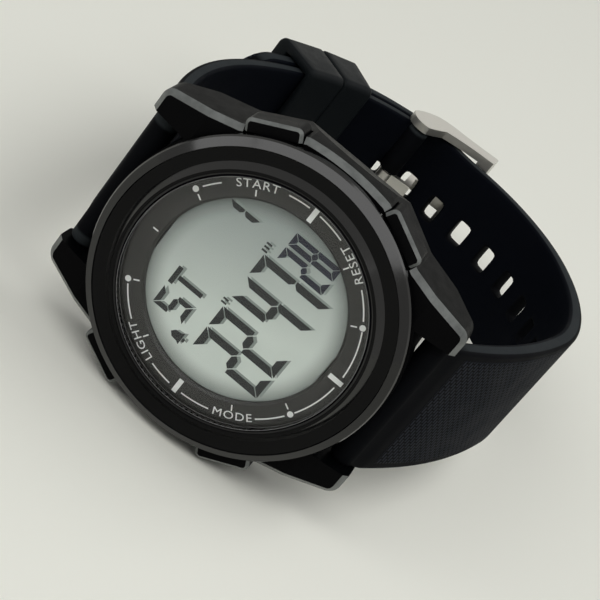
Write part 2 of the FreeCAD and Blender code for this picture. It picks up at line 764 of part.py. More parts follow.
def build_cell(board_low):
    cell_y = size("cell_offset")
    owner = body("coin_cell")
    drawing = sketch(owner, "XY_Plane", "cell", board_low - size("cell_height") - 0.1)
    circle(drawing, 0, cell_y, size("cell_radius"))
    pad(owner, drawing, size("cell_height"))
    clip = body("cell_clip")
    low = board_low - size("cell_height") - 0.1 - size("clip_thickness")
    arm = size("cell_radius") + 0.1
    strip = sketch(clip, "XZ_Plane", "strap", -cell_y)
    bound_profile(strip, [(-(arm + size("clip_thickness")), board_low), (-(arm + size("clip_thickness")), low),
                          (arm + size("clip_thickness"), low), (arm + size("clip_thickness"), board_low),
                          (arm, board_low), (arm, low + size("clip_thickness")),
                          (-arm, low + size("clip_thickness")), (-arm, board_low)])
    pad(clip, strip, Size(4.0, "4.0"), middle=True)
    back_in = foot + size("back_thickness") - size("back_proud")
    plate("buzzer_disc", back_in, size("buzzer_thickness"), radius=size("buzzer_radius"))


def build_back():
    low = foot - size("back_proud")
    high = low + size("back_thickness")
    radius = size("back_radius")
    seal = size("seal_radius")
    wire = size("seal_wire")
    cover = turned("case_back", [
        (0, low), (size("back_step"), low), (size("back_step") + 0.5, low + 0.35), (radius - 0.25, low + 0.35),
        (radius, low + 0.6), (radius, high), (seal + wire, high), (seal + wire, high - wire),
        (seal - wire, high - wire), (seal - wire, high), (0, high)])
    holes = sketch(cover, "XY_Plane", "screw_holes", high)
    for x, y in screw_places():
        circle(holes, x, y, size("screw_head") + size("slip_fit"))
    pocket(cover, holes, size("back_thickness") + 1)
    rise = size("slip_fit")
    turned("back_seal", [(seal - wire + rise, high - wire), (seal + wire - rise, high - wire),
                         (seal + wire - rise, high), (seal - wire + rise, high)])
    screws = body("back_screws")
    heads = sketch(screws, "XY_Plane", "heads", low + 0.15)
    shanks = sketch(screws, "XY_Plane", "shanks", low + 0.15)
    for x, y in screw_places():
        circle(heads, x, y, size("screw_head"))
        circle(shanks, x, y, size("screw_radius") - size("slip_fit") / 5)
    pad(screws, heads, high - low - 0.15)
    pad(screws, shanks, size("screw_length") + size("back_proud") - 0.15)
    return cover


# Strap


def taper_waste(drawing, sign):
    """What is cut off one edge so that the strap narrows from the lugs to the buckle."""
    start, stop = -size("taper_start"), -size("taper_end")
    wide, slim = size("strap_lug_width") / 2, size("strap_width") / 2
    beyond = size("lug_gap")
    deep = -(size("taper_end") + size("short_length"))
    bound_profile(drawing, [(sign * wide, start), (sign * beyond, start), (sign * beyond, deep),
                            (sign * slim, deep), (sign * slim, stop)])


def strap_half(name, route, start, stop, side, thick):
    """A strap half cut from the loop's section, with the knuckle for its spring bar."""
    owner = body(name)
    section = sketch(owner, "YZ_Plane", "section")
    profile(section, route.band(start, stop, 0.0, thick))
    pad(owner, section, size("strap_lug_width"), middle=True)
    knuckle = sketch(owner, "YZ_Plane", "knuckle")
    circle(knuckle, side * bar_y, bar_z, size("knuckle_radius"))
    pad(owner, knuckle, size("strap_lug_width"), middle=True)
    edges = sketch(owner, "XZ_Plane", "taper")
    taper_waste(edges, 1)
    taper_waste(edges, -1)
    pocket(owner, edges, 8 * lug_y, middle=True)
    bore = sketch(owner, "YZ_Plane", "bar_bore")
    circle(bore, side * bar_y, bar_z, size("tube_radius") + size("slip_fit"))
    pocket(owner, bore, size("strap_lug_width") + 2, middle=True)
    return owner


def build_long_half():
    thick = long_thick
    owner = strap_half("strap_long", long_route, 0.0, long_end, -1, thick)
    tip = sketch(owner, "XZ_Plane", "tail_end")
    end_z = long_route.point(long_end, float(thick))[1]
    slim = float(size("strap_width")) / 2
    back = end_z - float(size("tail_round"))
    wide = slim + 3
    profile(tip, [(-wide, back), (-slim, back), (0.0, end_z, (-slim * 0.72, end_z - float(size("tail_round")) * 0.3)),
                  (slim, back, (slim * 0.72, end_z - float(size("tail_round")) * 0.3)), (wide, back),
                  (wide, end_z + 8), (-wide, end_z + 8)])
    document.recompute()
    before = owner.Tip.Shape.Volume
    cut = pocket(owner, tip, 2 * size("bar_spacing"))
    document.recompute()
    if not 20 < before - cut.Shape.Volume < 200:
        raise RuntimeError("the tail's end was not rounded")
    holes = sketch(owner, "YZ_Plane", "holes")
    first = long_place(pin_at - size("prong_hole"))
    half = float(size("hole_along")) / 2
    for step in range(-int(size("holes_before")), int(size("holes_after")) + 1):
        middle = first + step * float(size("hole_pitch"))
        profile(holes, [long_route.point(middle - half, -1.0), long_route.point(middle + half, -1.0),
                        long_route.point(middle + half, float(thick) + 1),
                        long_route.point(middle - half, float(thick) + 1)])
    pocket(owner, holes, size("hole_across"), middle=True)
    return owner


def pin_point():
    return wrist.point(pin_at, -float(size("pin_inward")))


def build_short_half():
    thick = short_thick
    owner = strap_half("strap_short", wrist, float(pin_at), wrist.length, 1, thick)
    pin_y, pin_z = pin_point()
    ear = sketch(owner, "YZ_Plane", "pin_knuckle")
    circle(ear, pin_y, pin_z, size("pin_knuckle"))
    pad(owner, ear, size("strap_width"), middle=True)
    bore = sketch(owner, "YZ_Plane", "pin_bore")
    circle(bore, pin_y, pin_z, size("pin_radius") + size("slip_fit"))
    pocket(owner, bore, size("strap_width") + 2, middle=True)
    notch = sketch(owner, "YZ_Plane", "prong_notch")
    profile(notch, wrist.band(float(pin_at) - 2.5, float(pin_at) + 2.4, -4.0, float(thick) + 2))
    pocket(owner, notch, size("prong_notch"), middle=True)
    return owner


def build_keeper(name, start, stop, inside):
    """A rounded loop round both strap layers, flat across its length on the outside."""
    owner = body(name)
    outside = both + soft
    section = sketch(owner, "YZ_Plane", "section")
    low, high = -inside - size("keeper_inside"), outside + size("keeper_wall")
    lower = wrist.side(start, stop, float(low))
    profile(section, lower + [wrist.point(stop, float(high)), wrist.point(start, float(high))])
    half = size("strap_width") / 2 + soft
    pad(owner, section, 2 * (half + size("keeper_side")), middle=True)
    document.recompute()
    base = owner.Tip
    rounds = []
    for edge_name, edge in named_edges(base.Shape):
        ends = [vertex.Point for vertex in edge.Vertexes]
        along = abs(ends[0].x - ends[1].x) < 0.01
        outer = all(wrist_height(p.y, p.z, start, stop) > float(outside) for p in ends)
        if along and outer:
            rounds.append(edge_name)
    shaped = owner.newObject("PartDesign::Fillet", name + "_round")
    shaped.Base = (base, rounds)
    bind(shaped, "Radius", size("keeper_round"))
    document.recompute()
    passage = sketch(owner, "YZ_Plane", "passage")
    profile(passage, wrist.band(start - 2, stop + 2, float(-inside), float(outside)))
    pocket(owner, passage, 2 * half, middle=True)
    return owner


def wrist_height(y, z, start, stop):
    """How far out from the wrist line a point lies, near a stretch of it."""
    best = None
    for i in range(21):
        py, pz, heading = wrist.place(start + (stop - start) * i / 20)
        away = hypot(y - py, z - pz)
        if best is None or away < best[0]:
            best = (away, -(y - py) * cos(heading) - (z - pz) * sin(heading))
    return best[1]


def frame_point(before_pin, out):
    return wrist.point(pin_at - before_pin, out)


def build_buckle():
    length = float(size("buckle_length"))
    wall = size("buckle_wall")
    inner = size("strap_width") / 2 + size("side_gap") + 0.15
    frame = body("buckle_frame")
    crown = float(both) + 0.7
    bar_low = float(long_thick) + 0.9
    bar_high = bar_low + float(size("bar_height"))
    eye, deep = float(size("arm_eye")), float(size("pin_inward"))
    arms = sketch(frame, "YZ_Plane", "arms")
    outline = [frame_point(-eye, -deep),
               frame_point(-eye * 0.9, 1.3),
               frame_point(3.0, crown - 0.3) + (frame_point(0.1, 3.6),),
               frame_point(7.2, crown) + (frame_point(5.0, crown + 0.1),),
               frame_point(length - 0.4, crown + 1.2) + (frame_point(length - 2.8, crown + 0.45),),
               frame_point(length, crown + 0.6) + (frame_point(length - 0.08, crown + 1.1),),
               frame_point(length, bar_low - 0.1),
               frame_point(4.4, 1.0) + (frame_point(8.9, 2.2),),
               frame_point(0.6, -deep - eye) + (frame_point(2.6, -1.1),),
               frame_point(-eye, -deep) + (frame_point(-eye * 0.62, -deep - eye * 0.78),)]
    outline = [outline[-1]] + outline[1:-1]
    profile(arms, outline)
    pad(frame, arms, 2 * (inner + wall), middle=True)
    gap = sketch(frame, "YZ_Plane", "gap")
    profile(gap, [frame_point(-9, -6), frame_point(length - float(size("bar_section")), -6),
                  frame_point(length - float(size("bar_section")), 12), frame_point(-9, 12)])
    pocket(frame, gap, 2 * inner, middle=True)
    under = sketch(frame, "YZ_Plane", "under_bar")
    profile(under, [frame_point(0, -6), frame_point(length + 4, -6), frame_point(length + 4, bar_low),
                    frame_point(0, bar_low)])
    pocket(frame, under, 2 * inner, middle=True)
    pin_y, pin_z = pin_point()
    holes = sketch(frame, "YZ_Plane", "pin_holes")
    circle(holes, pin_y, pin_z, size("pin_radius"))
    pocket(frame, holes, 2 * (inner + wall * 0.6), middle=True)
    rest = sketch(frame, "YZ_Plane", "prong_rest")
    profile(rest, [frame_point(length - 3, bar_high - 1.5), frame_point(length + 1, bar_high - 1.5),
                   frame_point(length + 1, bar_high + 2), frame_point(length - 3, bar_high + 2)])
    pocket(frame, rest, size("prong_width") + 2 * size("side_gap"), middle=True)
    pin = body("buckle_pin")
    rod = sketch(pin, "YZ_Plane", "rod")
    circle(rod, pin_y, pin_z, size("pin_radius"))
    pad(pin, rod, 2 * (inner + wall * 0.6), middle=True)
    build_prong(bar_high)


def build_prong(bar_high):
    """The tongue: a ring on the pin, a crank up through the hole and a straight tip."""
    prong = body("buckle_prong")
    thin = float(size("prong_thickness"))
    length = float(size("buckle_length"))
    level = bar_high - 1.15
    pin_y, pin_z = pin_point()
    ring = sketch(prong, "YZ_Plane", "ring")
    circle(ring, pin_y, pin_z, size("pin_radius") + size("slip_fit") + 0.55)
    pad(prong, ring, size("prong_width"), middle=True)
    hole = float(size("prong_hole"))
    tongue = sketch(prong, "YZ_Plane", "tongue")
    low = -float(size("pin_inward")) - thin / 2
    lean_out = 0.35
    profile(tongue, [
        frame_point(0.4, low), frame_point(hole - lean_out + thin * 0.55, low),
        frame_point(hole + lean_out + thin * 0.55, level - 0.25),
        frame_point(length - 0.3, level), frame_point(length, level + thin * 0.5),
        frame_point(length - 0.7, level + thin), frame_point(hole + 0.2, level + thin - 0.1),
        frame_point(hole - lean_out - thin * 0.45, low + thin), frame_point(0.4, low + thin)])
    pad(prong, tongue, size("prong_width"), middle=True)
    bore = sketch(prong, "YZ_Plane", "bore")
    circle(bore, pin_y, pin_z, size("pin_radius") + size("slip_fit"))
    pocket(prong, bore, 2 * size("prong_width"), middle=True)


def build_spring_bars():
    for word, side in (("12", 1), ("6", -1)):
        tube = body("spring_bar_%s_tube" % word)
        drawing = sketch(tube, "YZ_Plane", "tube")
        circle(drawing, side * bar_y, bar_z, size("tube_radius"))
        circle(drawing, side * bar_y, bar_z, size("tip_radius") + size("slip_fit"))
        pad(tube, drawing, 2 * (lug_in - 0.6), middle=True)
        for hand, way in (("left", -1), ("right", 1)):
            tip = body("spring_bar_%s_%s_tip" % (word, hand))
            start = way * (lug_in - 3.6)
            rod = sketch(tip, "YZ_Plane", "rod", start)
            circle(rod, side * bar_y, bar_z, size("tip_radius"))
            pad(tip, rod, 3.6 + size("tip_grip"), reverse=way < 0)


placements = {}

case = build_case()
build_bezel()
build_front()
build_movement()
build_back()
for label, direction in button_angles().items():
    for maker, suffix in ((build_button, ""), (build_clip, "_clip"), (build_oring, "_seal")):
        piece, placed = maker(label + suffix, direction)
        placements[piece.Name] = placed
build_long_half()
build_short_half()
keeper_first = float(pin_at + size("keeper_start"))
keeper_second = keeper_first + float(size("fixed_length") + size("keeper_gap"))
build_keeper("keeper_fixed", keeper_first, keeper_first + float(size("fixed_length")), 0.0)
build_keeper("keeper_sliding", keeper_second, keeper_second + float(size("sliding_length")), float(soft))
build_buckle()
build_spring_bars()
document.recompute()

# Laying the watch down: the case flank and the buckle's arm touch the ground.
rest_flank = (-float(size("flank_half")), -float(size("flank_skirt")))
buckle_half = float(size("strap_width") / 2 + size("side_gap") + 0.15 + size("buckle_wall"))
rest_buckle = (-buckle_half, min(frame_point(x, float(both) + 0.7)[1] for x in (3.4, 6.0, 9.0)))
tilt = atan2(rest_buckle[0] - rest_flank[0], rest_flank[1] - rest_buckle[1])
lay = FreeCAD.Matrix(0, -1, 0, 0,
                     sin(tilt), 0, -cos(tilt), 0,
                     cos(tilt), 0, sin(tilt), 0,
                     0, 0, 0, 1)
turn_down = Placement(lay)
for piece in subparts:
    piece.Placement = turn_down.multiply(placements.get(piece.Name, Placement()))
document.recompute()
bounds = FreeCAD.BoundBox()
for piece in subparts:
    bounds.add(piece.Shape.optimalBoundingBox(False, False))
drop = Placement(Vector(-bounds.Center.x, -bounds.Center.y, -bounds.ZMin), Rotation())
for piece in subparts:
    piece.Placement = drop.multiply(piece.Placement)
document.recompute()

faults = [thing.Label for thing in document.Objects if "Invalid" in thing.State or "Error" in thing.State]
for piece in subparts:
    shape = piece.Shape
    if shape.isNull() or not shape.isValid() or not shape.Solids:
        faults.append(piece.Label + " shape")
if faults:
    raise RuntimeError("pieces that failed: " + ", ".join(sorted(set(faults))))

os.makedirs("parts", exist_ok=True)
for piece in subparts:
    piece.Shape.exportStep("parts/%s.step" % piece.Label)


def laid(x, y, z):
    """A watch point in the laid frame."""
    point = drop.multiply(turn_down).multVec(Vector(float(x), float(y), float(z)))
    return [round(point.x, 3), round(point.y, 3), round(point.z, 3)]


print("tilt", round(degrees(tilt), 3), "box", [round(v, 2) for v in (bounds.XLength, bounds.YLength, bounds.ZLength)])
print("dial centre", laid(0, 0, 0), "drop", [round(v, 4) for v in drop.Base])
print("bar 12", laid(0, bar_y, bar_z), "bar 6", laid(0, -bar_y, bar_z))
print("pin", laid(0, *pin_point()), "pin at", round(float(pin_at), 2))
centre_y, centre_z, arc_radius = wrist.centre(keeper_second + 1)
print("keeper arc centre", laid(0, centre_y, centre_z), "radius", round(arc_radius, 2))
print(len(subparts), "nodes")
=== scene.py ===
import bpy
import bmesh
import json
import math
from mathutils import Matrix, Vector


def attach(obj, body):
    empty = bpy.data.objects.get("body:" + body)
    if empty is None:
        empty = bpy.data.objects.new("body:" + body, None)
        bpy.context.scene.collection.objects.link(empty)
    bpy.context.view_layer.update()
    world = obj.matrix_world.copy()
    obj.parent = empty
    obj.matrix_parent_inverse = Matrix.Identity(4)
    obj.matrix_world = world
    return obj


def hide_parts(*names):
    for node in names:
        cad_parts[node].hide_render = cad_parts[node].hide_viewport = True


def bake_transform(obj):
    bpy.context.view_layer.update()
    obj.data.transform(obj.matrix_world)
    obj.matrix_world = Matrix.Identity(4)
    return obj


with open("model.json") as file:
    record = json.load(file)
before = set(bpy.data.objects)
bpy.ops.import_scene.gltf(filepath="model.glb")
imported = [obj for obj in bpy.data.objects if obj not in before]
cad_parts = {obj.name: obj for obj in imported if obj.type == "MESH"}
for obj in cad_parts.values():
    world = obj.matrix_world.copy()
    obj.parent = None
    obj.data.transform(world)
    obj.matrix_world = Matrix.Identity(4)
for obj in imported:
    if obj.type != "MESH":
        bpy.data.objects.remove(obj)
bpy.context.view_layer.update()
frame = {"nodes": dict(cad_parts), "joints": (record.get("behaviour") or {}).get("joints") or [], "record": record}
NODES = frame["nodes"]
RECORD = frame["record"]
JOINTS = {j["name"]: j for j in frame["joints"]}

# The watch's own axes in millimetres, found from the strap's hinge: X to 3 o'clock,
# Y to 12 o'clock, Z out of the dial, zero at the dial ring's face.
BAR_Y, BAR_Z = 24.2, -6.4
axis = Vector(JOINTS["strap_flex"]["axis"]).normalized()
bar = Vector(JOINTS["strap_flex"]["pos_m"])
TURN = Matrix(((0, -1, 0), (axis.y, 0, -axis.z), (axis.z, 0, axis.y)))
ORIGIN = bar - TURN @ (Vector((0, BAR_Y, BAR_Z)) / 1000)
WATCH = Matrix.Translation(ORIGIN) @ (TURN * 0.001).to_4x4()
WATCH[3][3] = 1.0


def at(x, y, z):
    """A point in the watch's axes, in millimetres, as a place in the frame."""
    return WATCH @ Vector((x, y, z))


# Node trees


def rgb(r, g, b):
    """sRGB 0-255 as linear colour."""
    def one(c):
        c /= 255
        return c / 12.92 if c <= 0.04045 else ((c + 0.055) / 1.055) ** 2.4
    return (one(r), one(g), one(b), 1.0)


def shaded(colour, share):
    """A colour made lighter by a share, or darker by a negative one."""
    return tuple(min(1, c * (1 + share)) for c in colour[:3]) + (1,)


class Graph:
    """A short way to build a node tree."""

    def __init__(self, tree):
        self.tree = tree
        tree.nodes.clear()

    def node(self, kind, inputs=None, **props):
        new = self.tree.nodes.new(kind)
        for name, value in props.items():
            setattr(new, name, value)
        for key, value in (inputs or {}).items():
            socket = new.inputs[key]
            if isinstance(value, bpy.types.NodeSocket):
                self.tree.links.new(value, socket)
            else:
                socket.default_value = value
        return new

    def effect(self, group, inputs=None):
        """A node group put in this tree; gives its outputs."""
        return self.node("ShaderNodeGroup", inputs, node_tree=group).outputs

    def math(self, operation, a, b=0.0):
        return self.node("ShaderNodeMath", {0: a, 1: b}, operation=operation).outputs[0]

    def vector(self, operation, a, b=(0, 0, 0)):
        new = self.node("ShaderNodeVectorMath", {0: a, 1: b}, operation=operation)
        return new.outputs["Value" if operation in ("DOT_PRODUCT", "LENGTH") else "Vector"]

    def combine(self, *parts):
        return self.node("ShaderNodeCombineXYZ", dict(enumerate(parts))).outputs[0]

    def blend(self, factor, a, b):
        return self.node("ShaderNodeMix", {0: factor, 6: a, 7: b}, data_type="RGBA").outputs[2]

    def weigh(self, a, b, share):
        """Two patterns in one, with the share of the second."""
        return self.math("ADD", self.math("MULTIPLY", a, 1 - share), self.math("MULTIPLY", b, share))

    def scale(self, value, low, high, start=0.0, stop=1.0, **props):
        """start to stop becomes low to high, held at both ends."""
        limits = {"Value": value, "From Min": start, "From Max": stop, "To Min": low, "To Max": high}
        return self.node("ShaderNodeMapRange", limits, **props).outputs[0]

    def noise(self, vector, size, detail, rough):
        inputs = {"Vector": vector, "Scale": size, "Detail": detail, "Roughness": rough}
        return self.node("ShaderNodeTexNoise", inputs).outputs["Fac"]

    def bump(self, height, strength, distance):
        inputs = {"Height": height, "Strength": strength, "Distance": distance}
        return self.node("ShaderNodeBump", inputs).outputs[0]


# Effects that several materials share, each a node group. Distances are in millimetres,
# apart from a bump's, which is in metres.


def effect_group(build, inputs, outputs):
    """A node group named after its build function. inputs and outputs give each socket's kind;
    build(graph, given) returns what comes out."""
    tree = bpy.data.node_groups.new(build.__name__, "ShaderNodeTree")
    for way, sockets in (("INPUT", inputs), ("OUTPUT", outputs)):
        for label, kind in sockets.items():
            tree.interface.new_socket(name=label, in_out=way, socket_type="NodeSocket" + kind)
    graph = Graph(tree)
    given = graph.node("NodeGroupInput").outputs
    graph.node("NodeGroupOutput", build(graph, given))
    return tree


def watch_place(g, given):
    """Where a point is in the watch's axes, its reach from the dial's middle, and its rise:
    how far its face looks out of the dial, from 0 across to 1 along the dial's axis."""
    coordinates = g.node("ShaderNodeTexCoord").outputs
    moved = g.vector("ADD", coordinates["Object"], -ORIGIN)
    parts = [g.vector("DOT_PRODUCT", moved, TURN.col[i] * 1000) for i in range(3)]
    return {"Place": g.combine(*parts), "Reach": g.vector("LENGTH", g.combine(parts[0], parts[1])),
            "Rise": g.vector("DOT_PRODUCT", coordinates["Normal"], TURN.col[2])}


WATCH_PLACE = effect_group(watch_place, {}, {"Place": "Vector", "Reach": "Float", "Rise": "Float"})


def chamfer_sheen_and_shade(g, given):
    """Masks of the chamfers, which lean about 45 degrees from the dial, of a patchy painted sheen
    on them, and of the flank below them, for painted shade."""
    found = g.effect(WATCH_PLACE)
    rise = found["Rise"]
    chamfer = g.math("MULTIPLY", g.scale(rise, 0.0, 1.0, 0.42, 0.56), g.scale(rise, 1.0, 0.0, 0.84, 0.93))
    patchy = g.scale(g.noise(found["Place"], 0.35, 4, 0.6), 0.55, 1.0, 0.3, 0.6)
    # The second mask is a patchy painted sheen on the chamfers; the third marks the flank for painted shade.
    return {"Chamfer": chamfer, "Rubbed": g.math("MULTIPLY", chamfer, patchy),
            "Flank": g.scale(rise, 0.8, 0.0, 0.3, 0.42)}


CHAMFER_SHEEN_AND_SHADE = effect_group(chamfer_sheen_and_shade, {}, {"Chamfer": "Float", "Rubbed": "Float", "Flank": "Float"})

SURFACE = {"Color": "Color", "Roughness": "Float", "Normal": "Vector"}
TWO_TONES = {"Light": "Color", "Dark": "Color", "Rough": "Float"}


def moulded_grain(g, given):
    """Moulded plastic or rubber: fine grain, slow change of colour, roughness that wanders."""
    place = g.effect(WATCH_PLACE)["Place"]
    fine = g.noise(place, given["Grain"], 5, 0.6)
    slow = g.noise(place, 0.18, 3, 0.5)
    smoothest = g.math("SUBTRACT", given["Rough"], 0.05)
    roughest = g.math("ADD", given["Rough"], 0.07)
    return {"Color": g.blend(g.weigh(slow, fine, 0.3), given["Dark"], given["Light"]),
            "Roughness": g.scale(g.noise(place, 0.5, 4, 0.6), smoothest, roughest, 0.3, 0.7),
            "Normal": g.bump(fine, given["Bump"], 0.00006)}


MOULDED_GRAIN = effect_group(moulded_grain, {**TWO_TONES, "Grain": "Float", "Bump": "Float"}, SURFACE)


def brushed_lines(g, given):
    """Metal with fine lines. Stretch squeezes the pattern along each of the watch's axes."""
    place = g.effect(WATCH_PLACE)["Place"]
    lines = g.noise(g.vector("MULTIPLY", place, given["Stretch"]), 1.0, 6, 0.65)
    slow = g.noise(place, 0.25, 3, 0.5)
    smoothest = g.math("SUBTRACT", given["Rough"], 0.06)
    roughest = g.math("ADD", given["Rough"], 0.1)
    return {"Color": g.blend(g.weigh(slow, lines, 0.6), given["Dark"], given["Light"]),
            "Roughness": g.scale(lines, smoothest, roughest, 0.3, 0.7),
            "Normal": g.bump(lines, given["Bump"], 0.00004)}


BRUSHED_LINES = effect_group(brushed_lines, {**TWO_TONES, "Stretch": "Vector", "Bump": "Float"}, SURFACE)


def printed_ink(g, given):
    """A thin printed film with a fine tooth."""
    fine = g.noise(g.effect(WATCH_PLACE)["Place"], 9.0, 4, 0.6)
    smoothest = g.math("SUBTRACT", given["Rough"], 0.05)
    roughest = g.math("ADD", given["Rough"], 0.05)
    return {"Color": g.blend(fine, given["Dark"], given["Light"]),
            "Roughness": g.scale(fine, smoothest, roughest), "Normal": g.bump(fine, 0.15, 0.00003)}


PRINTED_INK = effect_group(printed_ink, TWO_TONES, SURFACE)

# Materials

MAT = {}


def material(name, build, **settings):
    """A Principled material. build(graph) returns the linked inputs; settings are constants."""
    new = bpy.data.materials.new(name)
    new.use_nodes = True
    graph = Graph(new.node_tree)
    shader = graph.node("ShaderNodeBsdfPrincipled", settings)
    for key, value in build(graph).items():
        new.node_tree.links.new(value, shader.inputs[key])
    graph.node("ShaderNodeOutputMaterial", {0: shader.outputs[0]})
    MAT[name] = new


def finish(group, **inputs):
    """The finish that a node group gives a surface by itself."""
    def build(g):
        made = g.effect(group, inputs)
        return {"Base Color": made["Color"], "Roughness": made["Roughness"], "Normal": made["Normal"]}
    return build


def moulded(colour, spread, rough, grain, bump):
    return finish(MOULDED_GRAIN, Light=shaded(colour, spread), Dark=shaded(colour, -spread), Rough=rough,
                  Grain=grain, Bump=bump)


def brushed(colour, spread, rough, stretch, bump):
    return finish(BRUSHED_LINES, Light=shaded(colour, spread), Dark=shaded(colour, -spread), Rough=rough,
                  Stretch=stretch, Bump=bump)


def printed(colour, rough):
    return finish(PRINTED_INK, Light=colour, Dark=shaded(colour, -0.14), Rough=rough)


def with_painted_sheen(plain, pale):
    """A moulded finish with a patchy painted sheen in the pale colour on its chamfers, over painted shade on its
    flank.
    """
    def build(g):
        result = plain(g)
        sheen_masks = g.effect(CHAMFER_SHEEN_AND_SHADE)
        # Painted sheen on the chamfers in the pale colour, then painted shade near black on the flank.
        shade = g.blend(sheen_masks["Rubbed"], result["Base Color"], pale)
        result["Base Color"] = g.blend(sheen_masks["Flank"], shade, rgb(3, 4, 5))
        result["Specular IOR Level"] = g.scale(sheen_masks["Chamfer"], 0.02, 0.28)
        return result
    return build


def bezel_look(g):
    """Polished black: almost even, with faint hairlines in the roughness."""
    found = g.effect(WATCH_PLACE)
    slow = g.noise(found["Place"], 0.4, 3, 0.5)
    hair = g.noise(g.vector("MULTIPLY", found["Place"], (0.6, 9.0, 0.6)), 1.6, 5, 0.7)
    black = rgb(5, 5, 6)
    return {"Base Color": g.blend(slow, shaded(black, -0.2), shaded(black, 0.25)),
            "Roughness": g.scale(hair, 0.1, 0.17, 0.4, 0.75),
            "Specular IOR Level": g.scale(found["Rise"], 0.42, 0.1, 0.8, 0.97),
            "Normal": g.bump(slow, 0.05, 0.00005)}


def turned_steel(g):
    """The case back: fine rings from the lathe."""
    found = g.effect(WATCH_PLACE)
    rings = g.noise(g.combine(found["Reach"]), 9.0, 5, 0.6)
    slow = g.noise(found["Place"], 0.2, 3, 0.5)
    return {"Base Color": g.blend(g.weigh(slow, rings, 0.6), rgb(196, 194, 189), rgb(222, 221, 216)),
            "Roughness": g.scale(rings, 0.24, 0.38, 0.3, 0.7), "Normal": g.bump(rings, 0.12, 0.00003)}


# The woven field of the strap: how far it goes to each side, and its middle and reach along.
WEAVE_SIDE, WEAVE_MIDDLE, WEAVE_REACH = 10.5, 90.5, 85.9
DASH_LONG, DASH_PITCH, DASH_GROOVE = 1.35, 0.68, 0.19


def strap_look(g):
    """Black silicone: rows of fine raised dashes on the outer face inside a smooth border, with painted
    highlight on the dash tops, painted shade in the grooves and painted sheen on the edges. The
    strap_place of a skin is the distance along it, the distance across, and 1 on its outer face."""
    skin_place = g.node("ShaderNodeAttribute", attribute_name="strap_place", attribute_type="GEOMETRY")
    along, across, face = g.node("ShaderNodeSeparateXYZ", {0: skin_place.outputs["Vector"]}).outputs
    brick = g.node("ShaderNodeTexBrick", {"Vector": g.combine(across, along), "Scale": 1.0,
                                          "Mortar Size": DASH_GROOVE, "Mortar Smooth": 0.45,
                                          "Brick Width": DASH_LONG, "Row Height": DASH_PITCH}, offset=0.5)
    side = g.math("ABSOLUTE", across)
    from_middle = g.math("ABSOLUTE", g.math("SUBTRACT", along, WEAVE_MIDDLE))
    inside = g.math("MULTIPLY", g.scale(side, 1.0, 0.0, WEAVE_SIDE - 0.2, WEAVE_SIDE + 0.2),
                    g.scale(from_middle, 1.0, 0.0, WEAVE_REACH - 0.3, WEAVE_REACH + 0.3))
    # The woven field is darkened as painted shade in the grooves; the dash tops, made lighter, are painted
    # highlight, and also the bump's height.
    field = g.math("MULTIPLY", inside, g.scale(face, 0.0, 1.0, 0.9, 0.99))
    dashes = g.math("MULTIPLY", g.math("SUBTRACT", 1.0, brick.outputs["Fac"]), field)
    inner = g.scale(face, 1.0, 0.0, 0.0, 0.4)
    # Painted sheen on the side faces near the strap's edges, weaker near the long strap's lug end.
    edge = g.math("MULTIPLY", g.scale(face, 1.0, 0.0, 0.92, 1.0), g.scale(face, 0.0, 1.0, 0.0, 0.08))
    edge = g.math("MULTIPLY", edge, g.scale(side, 0.0, 1.0, 10.0, 10.5))
    edge = g.math("MULTIPLY", edge, g.scale(along, 0.0, 0.8, 2.0, 5.0))
    place = g.effect(WATCH_PLACE)["Place"]
    fine = g.noise(place, 9.0, 5, 0.6)
    slow = g.noise(place, 0.2, 3, 0.5)
    dust = g.scale(g.noise(place, 7.0, 6, 0.75), 0.0, 0.05, 0.66, 0.8)
    shade = g.blend(slow, rgb(8, 9, 11), rgb(13, 14, 17))
    # Over the base: painted groove shade, painted dash-top highlight, a bluer inner face, painted edge sheen, then
    # dust.
    for mask, colour in ((g.math("MULTIPLY", field, 0.8), rgb(3, 4, 6)), (dashes, rgb(40, 43, 50)),
                         (g.math("MULTIPLY", inner, 0.6), rgb(7, 10, 17)), (edge, rgb(48, 52, 54)),
                         (dust, rgb(110, 110, 112))):
        shade = g.blend(mask, shade, colour)
    height = g.math("ADD", dashes, g.math("MULTIPLY", fine, 0.05))
    return {"Base Color": shade, "Roughness": g.scale(slow, 0.5, 0.62, 0.3, 0.7),
            "Normal": g.bump(height, 0.9, 0.00030)}


def crystal_look(g):
    """Clear in the middle, with the black printed rim under its bevel."""
    found = g.effect(WATCH_PLACE)
    rim = g.scale(found["Reach"], 0.0, 1.0, 18.08, 18.16)
    smear = g.scale(g.noise(found["Place"], 0.3, 4, 0.6), 0.01, 0.04, 0.4, 0.8)
    return {"Base Color": g.blend(rim, (0.99, 1.0, 1.0, 1), (0.004, 0.004, 0.005, 1)),
            "Transmission Weight": g.math("SUBTRACT", 1.0, rim), "Roughness": smear,
            "Normal": g.bump(g.noise(found["Place"], 0.12, 2, 0.4), 0.02, 0.00005)}


def display_look(g):
    """Grey-green liquid crystal with a fine grain, and painted shade towards the right and at its soft rim."""
    found = g.effect(WATCH_PLACE)
    rim = g.scale(found["Reach"], 0.0, 1.0, 11.6, 14.8, interpolation_type="SMOOTHSTEP")
    slow = g.noise(found["Place"], 0.12, 3, 0.5)
    fine = g.noise(found["Place"], 14.0, 2, 0.5)
    shade_slant = g.vector("DOT_PRODUCT", found["Place"], (0.9, 0.35, 0.0))
    shade = g.blend(slow, rgb(204, 213, 207), rgb(212, 220, 214))
    # Painted shade towards the right and at the rim, over a fine grain.
    for mask, colour in ((g.math("MULTIPLY", fine, 0.12), rgb(160, 168, 160)),
                         (g.scale(shade_slant, 0.0, 0.75, -4.0, 15.0), rgb(96, 106, 108)),
                         (g.math("MULTIPLY", rim, 0.62), rgb(74, 80, 78))):
        shade = g.blend(mask, shade, colour)
    return {"Base Color": shade, "Roughness": g.scale(fine, 0.32, 0.42),
            "Normal": g.bump(fine, 0.05, 0.00003)}
